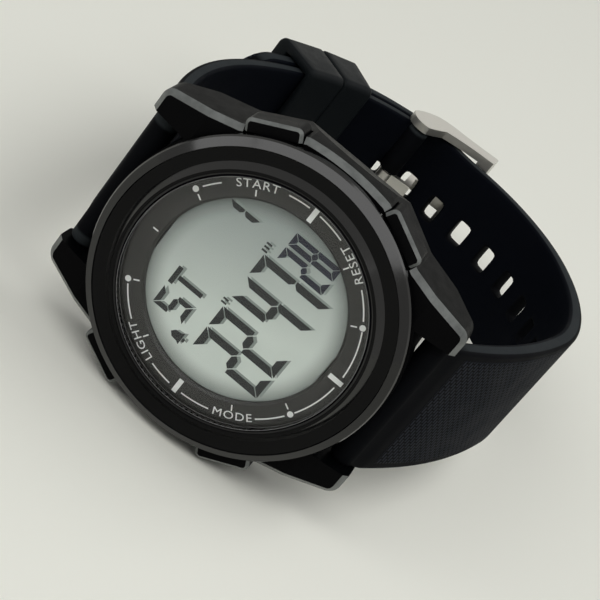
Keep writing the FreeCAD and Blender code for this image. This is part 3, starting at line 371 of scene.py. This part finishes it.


# Case and buttons: painted sheen on the chamfers in the pale colour given last, and painted shade on the flanks.
material("case_black", with_painted_sheen(moulded(rgb(8, 8, 9), 0.12, 0.36, 7.0, 0.2), rgb(104, 107, 105)))
material("button_black", with_painted_sheen(moulded(rgb(10, 10, 11), 0.1, 0.32, 8.0, 0.18), rgb(106, 109, 107)))
material("bezel_black", bezel_look)
material("strap_black", strap_look, **{"Specular IOR Level": 0.015})
material("keeper_black", moulded(rgb(17, 20, 22), 0.12, 0.44, 7.0, 0.2), **{"Specular IOR Level": 0.05})
material("dial_black", moulded(rgb(30, 29, 27), 0.06, 0.5, 1.2, 0.003))
material("seal_black", moulded(rgb(18, 18, 18), 0.1, 0.6, 5.0, 0.3))
material("tray_grey", moulded(rgb(84, 85, 88), 0.08, 0.5, 4.0, 0.2))
material("chip_black", moulded(rgb(26, 26, 27), 0.1, 0.55, 10.0, 0.3))
material("connector_grey", moulded(rgb(212, 208, 200), 0.05, 0.55, 3.0, 0.2))
material("reflector_grey", moulded(rgb(160, 166, 158), 0.04, 0.4, 12.0, 0.2))
material("light_panel", moulded(rgb(216, 222, 210), 0.04, 0.3, 6.0, 0.15))
material("lamp_white", moulded(rgb(235, 232, 214), 0.04, 0.25, 6.0, 0.1))
material("board_green", moulded(rgb(28, 92, 52), 0.15, 0.35, 2.5, 0.3))
material("steel_satin", brushed(rgb(202, 200, 194), 0.05, 0.34, (1.2, 22.0, 22.0), 0.06), Metallic=1.0)
material("steel_turned", turned_steel, Metallic=1.0)
material("brass_disc", brushed(rgb(206, 170, 96), 0.1, 0.32, (3.0, 0.5, 3.0), 0.2), Metallic=1.0)
material("crystal_clear", crystal_look, IOR=1.22)
material("display_grey", display_look)
material("print_grey", printed(rgb(232, 234, 232), 0.45))
material("digit_dark", printed(rgb(12, 18, 22), 0.4))
material("digit_blue", printed(rgb(3, 9, 38), 0.4))
material("digit_shadow", printed(rgb(138, 148, 143), 0.45))


def dress(obj, look):
    """Gives a piece its material."""
    obj.data.materials.clear()
    obj.data.materials.append(MAT[look])


LOOK_OF = {s["node"]: s["material_slot"] for s in RECORD["subparts"]}
LOOK_OF["case_back"] = "steel_turned"

for node, obj in NODES.items():
    if obj.material_slots:
        for slot in obj.material_slots:
            slot.material = MAT[LOOK_OF[node]]
    else:
        obj.data.materials.append(MAT[LOOK_OF[node]])

# Camera: where the photo was taken from, in the watch's axes. SEEN is a turn about one axis.

SEEN_AXIS = Vector((2.919399, -1.374113, -0.644227))
SHIFT = Vector((-7.643915, 0.307246, 247.078812))
FOCUS_PX, PHOTO_PX, SENSOR = 1800.9969, 600, 36
SEEN = Matrix.Rotation(SEEN_AXIS.length, 3, SEEN_AXIS.normalized())
FLIP = Matrix(((1, 0, 0), (0, -1, 0), (0, 0, -1)))
camera_data = bpy.data.cameras.new("photo_camera")
camera_data.sensor_fit = "HORIZONTAL"
camera_data.sensor_width = SENSOR
camera_data.lens = FOCUS_PX * SENSOR / PHOTO_PX
camera_data.clip_start = 0.01
camera = bpy.data.objects.new("photo_camera", camera_data)
bpy.context.scene.collection.objects.link(camera)
eye = at(*-(SEEN.transposed() @ SHIFT))
camera.matrix_world = Matrix.Translation(eye) @ (TURN @ SEEN.transposed() @ FLIP).to_4x4()
bpy.context.scene.camera = camera

# Floor and light

FLOOR_SIZE = 4.4


def seen_directly(g):
    """1 for what the camera sees straight, in a reflection or through glass, and 0 for lighting."""
    ray = g.node("ShaderNodeLightPath").outputs
    mirrored = g.math("MAXIMUM", ray["Is Glossy Ray"], ray["Is Transmission Ray"])
    return g.math("MAXIMUM", ray["Is Camera Ray"], mirrored)


def floor_look(g):
    """A pale floor that fades into the backdrop far from the watch, to the eye alone."""
    place = g.node("ShaderNodeTexCoord").outputs["Object"]
    slow = g.noise(place, 2.0, 3, 0.5)
    far = g.scale(g.vector("LENGTH", place), 0.0, 0.74, 0.3, 1.8)
    return {"Base Color": g.blend(slow, rgb(240, 240, 229), rgb(245, 245, 235)),
            "Roughness": g.scale(slow, 0.55, 0.65),
            "Emission Strength": g.math("MULTIPLY", seen_directly(g), far)}


material("floor_pale", floor_look, **{"Emission Color": rgb(226, 225, 216)})
bpy.ops.mesh.primitive_plane_add(size=FLOOR_SIZE)
floor = bpy.context.object
floor.name = floor.data.name = "floor"
floor.data.materials.append(MAT["floor_pale"])

world = bpy.data.worlds.new("studio")
world.use_nodes = True
bpy.context.scene.world = world
g = Graph(world.node_tree)
sky = g.node("ShaderNodeBackground", {"Color": (0.93, 0.94, 0.96, 1), "Strength": 0.2})
seen_sky = g.node("ShaderNodeBackground", {"Color": rgb(226, 225, 220), "Strength": 1.0})
mix = g.node("ShaderNodeMixShader", {0: seen_directly(g), 1: sky.outputs[0], 2: seen_sky.outputs[0]})
g.node("ShaderNodeOutputWorld", {0: mix.outputs[0]})


def area(name, place, target, size, power):
    """A rectangular lamp that faces its target; metres and watts."""
    light = bpy.data.lights.new(name, "AREA")
    light.shape = "RECTANGLE"
    light.size, light.size_y = size
    light.energy = power
    lamp = bpy.data.objects.new(name, light)
    bpy.context.scene.collection.objects.link(lamp)
    lamp.location = place
    lamp.rotation_euler = (Vector(target) - Vector(place)).to_track_quat("-Z", "Y").to_euler()


area("soft_over", (0.42, 0.34, 0.80), (0, 0.02, 0.0), (0.7, 0.7), 2.9)
area("soft_front", (0.02, -0.46, 0.74), (0, 0, 0.02), (1.5, 0.34), 4.5)
area("side_left", (-0.80, -0.45, 0.45), (0, 0, 0.02), (0.30, 0.40), 1.0)

bpy.context.scene.view_settings.view_transform = "Standard"

# Printed pieces: drawn flat as a curve or text, made a mesh, then set on the dial.

WELD = 0.0001


def made_mesh(obj, name):
    """A curve or text as a closed mesh with its faces outwards."""
    bpy.ops.object.select_all(action="DESELECT")
    obj.select_set(True)
    bpy.context.view_layer.objects.active = obj
    bpy.ops.object.convert(target="MESH")
    piece = bpy.context.object
    bpy.ops.object.mode_set(mode="EDIT")
    bpy.ops.mesh.select_all(action="SELECT")
    bpy.ops.mesh.remove_doubles(threshold=WELD)
    bpy.ops.mesh.normals_make_consistent(inside=False)
    bpy.ops.object.mode_set(mode="OBJECT")
    piece.name = piece.data.name = name
    return piece


def flat_forms(name, outlines, layer, look):
    """Thin forms over outlines in the dial's plane; layer is their lower and upper height."""
    low, high = layer
    drawing = bpy.data.curves.new(name, "CURVE")
    drawing.dimensions = "2D"
    drawing.fill_mode = "BOTH"
    drawing.extrude = (high - low) / 2
    for outline in outlines:
        spline = drawing.splines.new("POLY")
        spline.points.add(len(outline) - 1)
        for point, (x, y) in zip(spline.points, outline):
            point.co = (x, y, 0, 1)
        spline.use_cyclic_u = True
    obj = bpy.data.objects.new(name, drawing)
    bpy.context.scene.collection.objects.link(obj)
    piece = made_mesh(obj, name)
    piece.data.transform(WATCH @ Matrix.Translation((0, 0, (low + high) / 2)))
    dress(piece, look)
    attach(piece, "case")


def on_ring(radius, angle):
    """A point on the dial at a distance from its middle, in degrees from 3 o'clock."""
    return radius * math.cos(math.radians(angle)), radius * math.sin(math.radians(angle))


def arc_outline(start, stop, radius, width, step=3.0):
    count = max(1, round((stop - start) / step))
    angles = [start + (stop - start) * i / count for i in range(count + 1)]
    inner = [on_ring(radius - width / 2, angle) for angle in angles]
    return inner + [on_ring(radius + width / 2, angle) for angle in reversed(angles)]


def bar_outline(angle, low, high, width):
    """A bar that points at the dial's middle."""
    (ux, uy), half = on_ring(1.0, angle), width / 2
    corners = ((low, -half), (high, -half), (high, half), (low, half))
    return [(ux * r - uy * s, uy * r + ux * s) for r, s in corners]


def dot_outline(angle, radius, size, sides=20):
    x, y = on_ring(radius, angle)
    return [(x + dx, y + dy) for dx, dy in (on_ring(size, 360 * i / sides) for i in range(sides))]


RING_ARCS = [(3.3, 14.3), (46.9, 56.3), (122.6, 140.0), (163.8, 176.0), (-17.0, -2.6), (-56.8, -41.7),
             (-86.6, -61.9), (-117.7, -93.4), (-138.0, -123.0), (-176.6, -161.6)]
RING_RADIUS, RING_LINE = 17.0, 0.2
RING_INSIDE = 15.3
ring = [arc_outline(start, stop, RING_RADIUS, RING_LINE) for start, stop in RING_ARCS]
ring += [bar_outline(angle, RING_INSIDE, 17.6, 0.75) for angle in (0, 180, 270)]
ring += [dot_outline(angle, RING_RADIUS, 0.46) for angle in (60, 120, -60, -120)]
ring += [bar_outline(angle, RING_INSIDE, 16.2, 0.2) for angle in (90, 60, 30, -30, -60, -120, -150, 150, 120)]
flat_forms("ring_marks", ring, (0.0, 0.03), "print_grey")

WORD_SIZE, WORD_RADIUS, WORD_HALF_THICK = 1.7, 16.95, 0.015
WORD_SPACING, WORD_SPREAD = 1.12, 1.16


def word(name, text, angle, outward):
    """Plain letters that follow the ring, with their tops towards the rim or the middle."""
    bpy.ops.object.text_add()
    letters = bpy.context.object.data
    letters.body = text
    letters.size = WORD_SIZE
    letters.align_x = "CENTER"
    letters.align_y = "CENTER"
    letters.space_character = WORD_SPACING
    letters.resolution_u = 3
    letters.extrude = WORD_HALF_THICK
    piece = made_mesh(bpy.context.object, name)
    turn = 1 if outward else -1
    for vertex in piece.data.vertices:
        along, up, rise = vertex.co
        bend = math.degrees(turn * WORD_SPREAD * along / WORD_RADIUS)
        x, y = on_ring(WORD_RADIUS + turn * up, angle - bend)
        vertex.co = at(x, y, WORD_HALF_THICK + rise)
    dress(piece, "print_grey")
    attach(piece, "case")


word("word_light", "LIGHT", 151.5, True)
word("word_start", "START", 29.5, True)
word("word_mode", "MODE", -149.5, False)
word("word_reset", "RESET", -29.5, False)

# Display: seven-segment figures, each with a paler painted shadow set off below, as on a reflective panel.

SEGMENTS = {"1": "bc", "2": "abged", "4": "fgbc", "5": "afgcd", "7": "abc", "8": "abcdefg"}
TIME_ROW, SECONDS_ROW, DATE_ROW = (-9.7, 2.0), (-7.6, 0.3), (5.0, 10.2)
TIME_STROKE, SECONDS_STROKE, DATE_STROKE, MARK_STROKE = 1.15, 0.85, 0.8, 0.3
DISPLAY_TOP = -0.9
SHADOW_LAYER = (DISPLAY_TOP + 0.003, DISPLAY_TOP + 0.012)
FIGURE_LAYER = (DISPLAY_TOP + 0.014, DISPLAY_TOP + 0.04)
SHADOW_SHIFT = (0.35, -0.4)


def figure(text, left, right, row, stroke, gap=0.1):
    """The segments of one figure, mitred where they meet at the corners."""
    low, high = row
    middle = (low + high) / 2
    s, h = stroke, stroke / 2

    def upright(x, way, top, foot, up):
        """A side segment: outer edge at x, inner edge a stroke in; up is 1 above the middle."""
        far, near = (top, foot) if up > 0 else (foot, top)
        return [(x, far - up * gap), (x, near + up * gap), (x + way * h, near + up * gap),
                (x + way * s, near + up * (h + gap)), (x + way * s, far - up * (s + gap))]

    def level(edge, inside):
        """The top or bottom segment: outer edge at edge, inner edge at inside."""
        return [(left + gap, edge), (right - gap, edge), (right - s - gap, inside), (left + s + gap, inside)]

    parts = {"a": level(high, high - s), "d": level(low, low + s),
             "g": [(left + h + gap, middle), (left + s + gap, middle + h), (right - s - gap, middle + h),
                   (right - h - gap, middle), (right - s - gap, middle - h), (left + s + gap, middle - h)],
             "f": upright(left, 1, high, middle, 1), "b": upright(right, -1, high, middle, 1),
             "e": upright(left, 1, middle, low, -1), "c": upright(right, -1, middle, low, -1)}
    return [parts[key] for key in SEGMENTS[text]]


def strokes(lines, width):
    """Straight strokes from point to point."""
    outlines = []
    for (ax, ay), (bx, by) in lines:
        length = math.hypot(bx - ax, by - ay)
        vx, vy = (ay - by) / length * width / 2, (bx - ax) / length * width / 2
        outlines.append([(ax + vx, ay + vy), (ax - vx, ay - vy), (bx - vx, by - vy), (bx + vx, by + vy)])
    return outlines


plain = []
for text, left, right in (("2", -10.5, -6.7), ("2", -6.5, -2.75), ("4", -0.8, 3.05), ("7", 3.5, 7.2)):
    plain += figure(text, left, right, TIME_ROW, TIME_STROKE)
plain += figure("1", 7.6, 10.4, DATE_ROW, DATE_STROKE)
plain += figure("5", -9.2, -6.0, DATE_ROW, DATE_STROKE)
plain += strokes([((-5.3, 9.85), (-2.3, 9.85)), ((-3.8, 9.3), (-3.8, 5.1))], 0.75)
plain += strokes([((x, 2.7), (x, 1.8)) for x in (-2.3, -1.7, 7.6, 8.2, 8.8)], MARK_STROKE)
bell_cup = [(-11.9, 3.7), (-9.9, 3.7), (-10.2, 4.2), (-10.3, 5.1), (-10.9, 5.6), (-11.5, 5.1), (-11.6, 4.2)]
bell_clapper = [(-11.2, 3.2), (-10.6, 3.2), (-10.6, 3.6), (-11.2, 3.6)]
plain += [bell_cup, bell_clapper]
seconds = []
for text, left, right in (("2", 7.9, 10.1), ("8", 10.5, 12.7)):
    seconds += figure(text, left, right, SECONDS_ROW, SECONDS_STROKE, 0.06)
shadow = [[(x + SHADOW_SHIFT[0], y + SHADOW_SHIFT[1]) for x, y in outline] for outline in plain + seconds]
flat_forms("digits_shadow", shadow, SHADOW_LAYER, "digit_shadow")
flat_forms("digits_main", plain, FIGURE_LAYER, "digit_dark")
flat_forms("digits_seconds", seconds, FIGURE_LAYER, "digit_blue")

# Strap and keepers, in their CAD solids' places. A route is a chain of tangent arcs in the
# watch's Y-Z plane: (run, turn) pairs from the 6 o'clock bar, as in the construction model.

ROUTE_START = (-23.87, -6.626, -0.600393)
WRIST = ((36.2, 0.376991), (30.6264, 0.844739), (22.6, 0.888373), (27.4, 0.888373), (31.1284, 0.523599),
         (35.8, 0.602139))
LONG = ((36.2, 0.376991), (30.6264, 0.844739), (22.5784, 0.887525), (6.1276, -0.245529),
        (5.9661, 0.610429), (17.5348, 0.52432), (27.3755, 0.441178))
LONG_THICK, SHORT_THICK, STRAP_GAP = 2.6, 2.3, 0.3
LUG_HALF, SKIN_HALF, TAPER_FROM, TAPER_RUN = 12.0, 11.0, -8.0, 44.0

# Places along the route: the tail's end and where its tip starts to narrow, the buckle's pin,
# the notch for the tongue, the 12 o'clock bar, and the hole that the tongue is in.
LONG_END, TAIL_TIP = 146.4, 9.0
PIN_AT, WRIST_END = 102.555, 183.755
NOTCH_END = PIN_AT + 2.4
FIRST_HOLE, HOLE_PITCH, HOLES = 98.312, 6.5, range(-7, 5)

# A hole is a squared round in a block of the mesh's rows and columns, with a rounded rim.
HOLE_HALF_WIDE, HOLE_HALF_LONG, HOLE_SQUARENESS = 2.2, 1.4, 6
BLOCK_HALF_LONG, BLOCK_HALF_WIDE, BLOCK_COLUMNS = 2.2, 3.4, 3
RIM, RIM_STEP = 0.32, 0.1
EDGE_ROUND, LEAST_HALF = 0.5, 0.35
KNUCKLE, PIN_KNUCKLE, BORE = 1.95, 1.9, 0.95
OUTER_FACE, SIDE_FACE, INNER_FACE = 1.0, 0.6, 0.0


def walk(route, along):
    """Place and heading at a distance along a route; straight on beyond its ends."""
    y, z, heading = ROUTE_START
    if along < 0:
        return y + along * math.sin(heading), z - along * math.cos(heading), heading
    for run, turn in route:
        part = min(along, run)
        bend = turn * part / run
        chord = part * math.sin(bend / 2) / (bend / 2) if abs(bend) > 1e-9 else part
        y += chord * math.sin(heading + bend / 2)
        z -= chord * math.cos(heading + bend / 2)
        heading += bend
        along -= part
        if along <= 1e-9:
            break
    return y + along * math.sin(heading), z - along * math.cos(heading), heading


def off_route(route, along, out):
    y, z, heading = walk(route, along)
    return y - out * math.cos(heading), z - out * math.sin(heading)


def strap_half_width(z):
    """Half the strap's width: full at the lugs, then tapered towards the buckle with depth."""
    tapered = min(max((TAPER_FROM - z) / TAPER_RUN, 0.0), 1.0)
    return LUG_HALF + (SKIN_HALF - LUG_HALF) * tapered


def soft_mesh(name, vertices, faces, look):
    """A smooth closed skin with its faces outwards."""
    mesh = bpy.data.meshes.new(name)
    mesh.from_pydata([tuple(v) for v in vertices], [], faces)
    mesh.update()
    obj = bpy.data.objects.new(name, mesh)
    bpy.context.scene.collection.objects.link(obj)
    work = bmesh.new()
    work.from_mesh(mesh)
    bmesh.ops.recalc_face_normals(work, faces=work.faces)
    work.to_mesh(mesh)
    work.free()
    for polygon in mesh.polygons:
        polygon.use_smooth = True
    dress(obj, look)
    return obj


class Skin:
    """A strap half as a closed mesh of loops round its side view, one loop per column."""

    def __init__(self, route, thick, rows, columns, tip=None):
        self.route, self.thick, self.rows, self.columns, self.tip = route, thick, rows, columns, tip
        self.vertices, self.faces, self.marks = [], [], []
        self.known = {}

    def half_at(self, along):
        y, z = off_route(self.route, along, self.thick / 2)
        half = strap_half_width(z)
        if self.tip and along > self.tip:
            part = min((along - self.tip) / (self.rows[-1] - self.tip), 1.0)
            half *= math.sqrt(max(1 - part ** 2, 0.0))
        return max(half, LEAST_HALF)

    def vertex(self, key, column, along, out, inward, face):
        """inward is the direction that the edge rounding moves a point, as (along, out)."""
        if (key, column) in self.known:
            return self.known[key, column]
        share, angle = self.columns[column]
        half = self.half_at(along)
        round_by = min(EDGE_ROUND, half * 0.8)
        dip = round_by * (1 - math.cos(angle))
        x = share * (half - round_by + round_by * math.sin(angle)) if abs(share) == 1 else share * half
        y, z = off_route(self.route, along + inward[0] * dip, out + inward[1] * dip)
        self.known[key, column] = len(self.vertices)
        self.vertices.append(at(x, y, z))
        self.marks.append((along, x, face))
        return self.known[key, column]


def columns_for(places):
    """Edge columns rounded in four steps, and plain ones between at distances from the middle."""
    angles = [math.radians(a) for a in (90, 62, 34, 0)]
    left = [(-1, a) for a in angles]
    right = [(1, a) for a in angles[::-1]]
    return left + [(x / SKIN_HALF, 0.0) for x in places] + right


def knuckle_points(centre, radius, first, last, count=19):
    """Arc of a knuckle in (along, out) with the direction to its middle and its bore point."""
    points = []
    for i in range(count):
        a = math.radians(first + (last - first) * i / (count - 1))
        c, s = math.cos(a), math.sin(a)
        points.append((centre[0] + radius * c, centre[1] + radius * s, (-c, -s),
                       (centre[0] + BORE * c, centre[1] + BORE * s)))
    return points


def finish_skin(name, skin, replaced):
    """A strap half's piece, with the places that its look reads, instead of the CAD solid."""
    obj = soft_mesh(name, skin.vertices, skin.faces, "strap_black")
    layer = obj.data.attributes.new("strap_place", "FLOAT_VECTOR", "POINT")
    layer.data.foreach_set("vector", [v for mark in skin.marks for v in mark])
    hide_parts(replaced)
    return obj


def hole_walls(skin, centre, outer, inner):
    """The rounded walls of one hole, between its blocks of rows and columns on both faces. Gives
    the block's cells, which the faces then leave out."""
    i0, i1 = [skin.rows.index(round(centre + side * BLOCK_HALF_LONG, 3)) for side in (-1, 1)]
    j0, j1 = [len(skin.columns) // 2 + side * BLOCK_COLUMNS for side in (-1, 1)]
    border = [(i0, j) for j in range(j0, j1)] + [(i, j1) for i in range(i0, i1)]
    border += [(i1, j) for j in range(j1, j0, -1)] + [(i, j0) for i in range(i1, i0, -1)]
    thick = skin.thick
    rims = ((RIM, thick, OUTER_FACE), (RIM_STEP, thick - RIM_STEP, SIDE_FACE), (0.0, thick - RIM, SIDE_FACE),
            (0.0, RIM, SIDE_FACE), (RIM_STEP, RIM_STEP, SIDE_FACE), (RIM, 0.0, INNER_FACE))
    chain = [[outer(i, j) for i, j in border]]
    for grow, out, face in rims:
        rim = []
        for i, j in border:
            across = skin.columns[j][0] * SKIN_HALF / BLOCK_HALF_WIDE
            ahead = (skin.rows[i] - centre) / BLOCK_HALF_LONG
            scale = (abs(across) ** HOLE_SQUARENESS + abs(ahead) ** HOLE_SQUARENESS) ** (-1 / HOLE_SQUARENESS)
            x = (HOLE_HALF_WIDE + grow) * across * scale
            along = centre + (HOLE_HALF_LONG + grow) * ahead * scale
            rim.append(len(skin.vertices))
            skin.vertices.append(at(x, *off_route(skin.route, along, out)))
            skin.marks.append((along, x, face))
        chain.append(rim)
    chain.append([inner(i, j) for i, j in border])
    for upper, lower in zip(chain, chain[1:]):
        for k in range(len(border)):
            m = (k + 1) % len(border)
            skin.faces.append((upper[k], upper[m], lower[m], lower[k]))
    return {(i, j) for i in range(i0, i1) for j in range(j0, j1)}


def strap_piece(route, thick, rows, columns, ends, holes=(), notch=None, tip=None):
    """ends: for the first and last row, a list of knuckle points (or None for a plain end),
    going from the outer side round to the inner side. notch: (columns, rows) left out."""
    skin = Skin(route, thick, rows, columns, tip)
    last = len(rows) - 1
    count = len(columns)
    notched, notch_rows = notch or ((), 0)

    def outer(i, j):
        return skin.vertex(("o", i), j, rows[i], thick, (0, -1), OUTER_FACE)

    def inner(i, j):
        return skin.vertex(("i", i), j, rows[i], 0.0, (0, 1), INNER_FACE)

    def knuckle(end, k, j):
        along, out, inward = ends[end][k][:3]
        return skin.vertex(("k", end, k), j, along, out, inward, SIDE_FACE)

    def bore(end, k, j):
        along, out = ends[end][k][3]
        return skin.vertex(("b", end, k), j, along, out, (0, 0), INNER_FACE)

    def side_wall(j, stop):
        """The edge of the strap along its first rows."""
        for i in range(stop):
            skin.faces.append((outer(i, j), outer(i + 1, j), inner(i + 1, j), inner(i, j)))

    def cheek(end, row, j):
        """The flat side of a knuckle, round its bore."""
        points = len(ends[end])
        for k in range(points - 1):
            m = k + 1
            skin.faces.append((knuckle(end, k, j), knuckle(end, m, j), bore(end, m, j), bore(end, k, j)))
        skin.faces.append((outer(row, j), knuckle(end, 0, j), bore(end, 0, j)))
        skin.faces.append((inner(row, j), bore(end, points - 1, j), knuckle(end, points - 1, j)))
        skin.faces.append((outer(row, j), bore(end, 0, j), bore(end, points - 1, j), inner(row, j)))

    skip = set()
    for centre in holes:
        skip |= hole_walls(skin, centre, outer, inner)

    for j in range(count - 1):
        first = notch_rows if j in notched else 0
        for i in range(first, last):
            if (i, j) in skip:
                continue
            skin.faces.append((outer(i, j), outer(i + 1, j), outer(i + 1, j + 1), outer(i, j + 1)))
            skin.faces.append((inner(i, j), inner(i, j + 1), inner(i + 1, j + 1), inner(i + 1, j)))
        for end, row in ((0, first), (1, last)):
            if ends[end] is None or (end == 0 and j in notched):
                skin.faces.append((outer(row, j), inner(row, j), inner(row, j + 1), outer(row, j + 1)))
                continue
            points = len(ends[end])
            near, far = [[outer(row, c)] + [knuckle(end, k, c) for k in range(points)] + [inner(row, c)]
                         for c in (j, j + 1)]
            for k in range(points + 1):
                skin.faces.append((near[k], near[k + 1], far[k + 1], far[k]))
            for k in range(points):
                m = (k + 1) % points
                near_pair = (bore(end, k, j), bore(end, m, j))
                far_pair = (bore(end, m, j + 1), bore(end, k, j + 1))
                skin.faces.append(near_pair + far_pair)

    for j in (0, count - 1):
        side_wall(j, last)
        for end, row in ((0, 0), (1, last)):
            if ends[end]:
                cheek(end, row, j)
    if notch:
        for j in (min(notched), max(notched) + 1):
            side_wall(j, notch_rows)
            cheek(0, 0, j)
    return skin


def even_rows(start, stop, step, fixed=()):
    """Rows about a step apart that keep the fixed ones."""
    marks = sorted({round(start, 3), round(stop, 3)} | {round(f, 3) for f in fixed})
    rows = []
    for a, b in zip(marks, marks[1:]):
        parts = max(1, round((b - a) / step))
        rows += [round(a + (b - a) * k / parts, 3) for k in range(parts)]
    return rows + [marks[-1]]


hole_centres = [round(FIRST_HOLE + k * HOLE_PITCH, 3) for k in HOLES]
hole_rows = [centre + BLOCK_HALF_LONG * k / 5 for centre in hole_centres for k in (-5, -3, -1, 1, 3, 5)]
tail_rows = [LONG_END - d for d in (0.0, 0.08, 0.25, 0.6, 1.2, 2.0, 3.0, 4.2, 5.6, 7.2, TAIL_TIP)]
long_rows = even_rows(2.4, LONG_END, 1.1, hole_rows + tail_rows)
long_columns = columns_for((-8.4, -5.8, -3.4, -2.27, -1.13, 0, 1.13, 2.27, 3.4, 5.8, 8.4))
long_lug = knuckle_points((0.0, 0.4), KNUCKLE, 68, 340)
skin = strap_piece(LONG, LONG_THICK, long_rows, long_columns, (long_lug, None), hole_centres,
                   tip=LONG_END - TAIL_TIP)
strap_long = finish_skin("strap_long_skin", skin, "strap_long")
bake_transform(strap_long)

short_rows = even_rows(PIN_AT + 0.9, WRIST_END - 2.1, 1.1, [NOTCH_END])
short_columns = columns_for((-8.0, -4.8, -1.6, 0, 1.6, 4.8, 8.0))
pin_round = knuckle_points((PIN_AT, -0.3), PIN_KNUCKLE, 86, 360)
short_lug = knuckle_points((WRIST_END, 1.6), KNUCKLE, 158, -122)
prong_columns = [len(short_columns) // 2 - 1, len(short_columns) // 2]
skin = strap_piece(WRIST, SHORT_THICK, short_rows, short_columns, (pin_round, short_lug),
                   notch=(prong_columns, short_rows.index(round(NOTCH_END, 3))))
strap_short = finish_skin("strap_short_skin", skin, "strap_short")
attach(strap_short, "strap")


KEEPER_UNDER, KEEPER_OVER, KEEPER_BESIDE = 1.3, 2.8, 1.6
KEEPER_BEVEL, BEVEL_STEP, KEEPER_CORNER, KEEPER_BORE_CORNER = 0.45, 0.13, 1.25, 0.4
BOTH_THICK = LONG_THICK + SHORT_THICK + STRAP_GAP


def rounded_outline(half, bottom, top, radius, count=6):
    """A box with rounded corners, in (across, out)."""
    points = []
    for x, out, first in ((half - radius, top - radius, 0), (radius - half, top - radius, 90),
                          (radius - half, bottom + radius, 180), (half - radius, bottom + radius, 270)):
        for k in range(count + 1):
            a = math.radians(first + 90 * k / count)
            points.append((x + radius * math.cos(a), out + radius * math.sin(a)))
    return points


def keeper(name, replaced, body, start, stop, inside):
    """A rounded loop round both layers; its outer wall is straight along the strap."""
    low, high = -inside - KEEPER_UNDER, BOTH_THICK + STRAP_GAP + KEEPER_OVER
    bore_half = SKIN_HALF + STRAP_GAP
    flat_run = stop - start - 2 * KEEPER_BEVEL
    rows = [(start, KEEPER_BEVEL), (start + BEVEL_STEP, KEEPER_BEVEL * 0.3)]
    rows += [(start + KEEPER_BEVEL + flat_run * k / 6, 0.0) for k in range(7)]
    rows += [(stop - BEVEL_STEP, KEEPER_BEVEL * 0.3), (stop, KEEPER_BEVEL)]

    def place(along, out):
        curved = Vector(off_route(WRIST, along, out))
        if out <= BOTH_THICK:
            return curved
        a, b = Vector(off_route(WRIST, start, out)), Vector(off_route(WRIST, stop, out))
        flat = a.lerp(b, (along - start) / (stop - start))
        return curved.lerp(flat, min((out - BOTH_THICK) / (high - BOTH_THICK), 1.0))

    vertices, loops = [], []
    for along, dip in rows:
        outside = rounded_outline(bore_half + KEEPER_BESIDE - dip, low + dip, high - dip, KEEPER_CORNER)
        bore = rounded_outline(bore_half + dip * 0.5, -inside - dip * 0.5, BOTH_THICK + STRAP_GAP + dip * 0.5,
                               KEEPER_BORE_CORNER)
        for points in (outside, bore):
            loops.append(range(len(vertices), len(vertices) + len(points)))
            vertices += [at(x, *place(along, out)) for x, out in points]
    walls = list(zip(loops, loops[2:])) + [(loops[0], loops[1]), (loops[-2], loops[-1])]
    faces = []
    for a, b in walls:
        for k in range(len(a)):
            m = (k + 1) % len(a)
            faces.append((a[k], a[m], b[m], b[k]))
    obj = soft_mesh(name, vertices, faces, "keeper_black")
    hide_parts(replaced)
    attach(obj, body)


keeper("keeper_fixed_skin", "keeper_fixed", "strap", PIN_AT + 12.3, PIN_AT + 19.1, 0.0)
keeper("keeper_sliding_skin", "keeper_sliding", "sliding_keeper", PIN_AT + 19.4, PIN_AT + 27.9, STRAP_GAP)
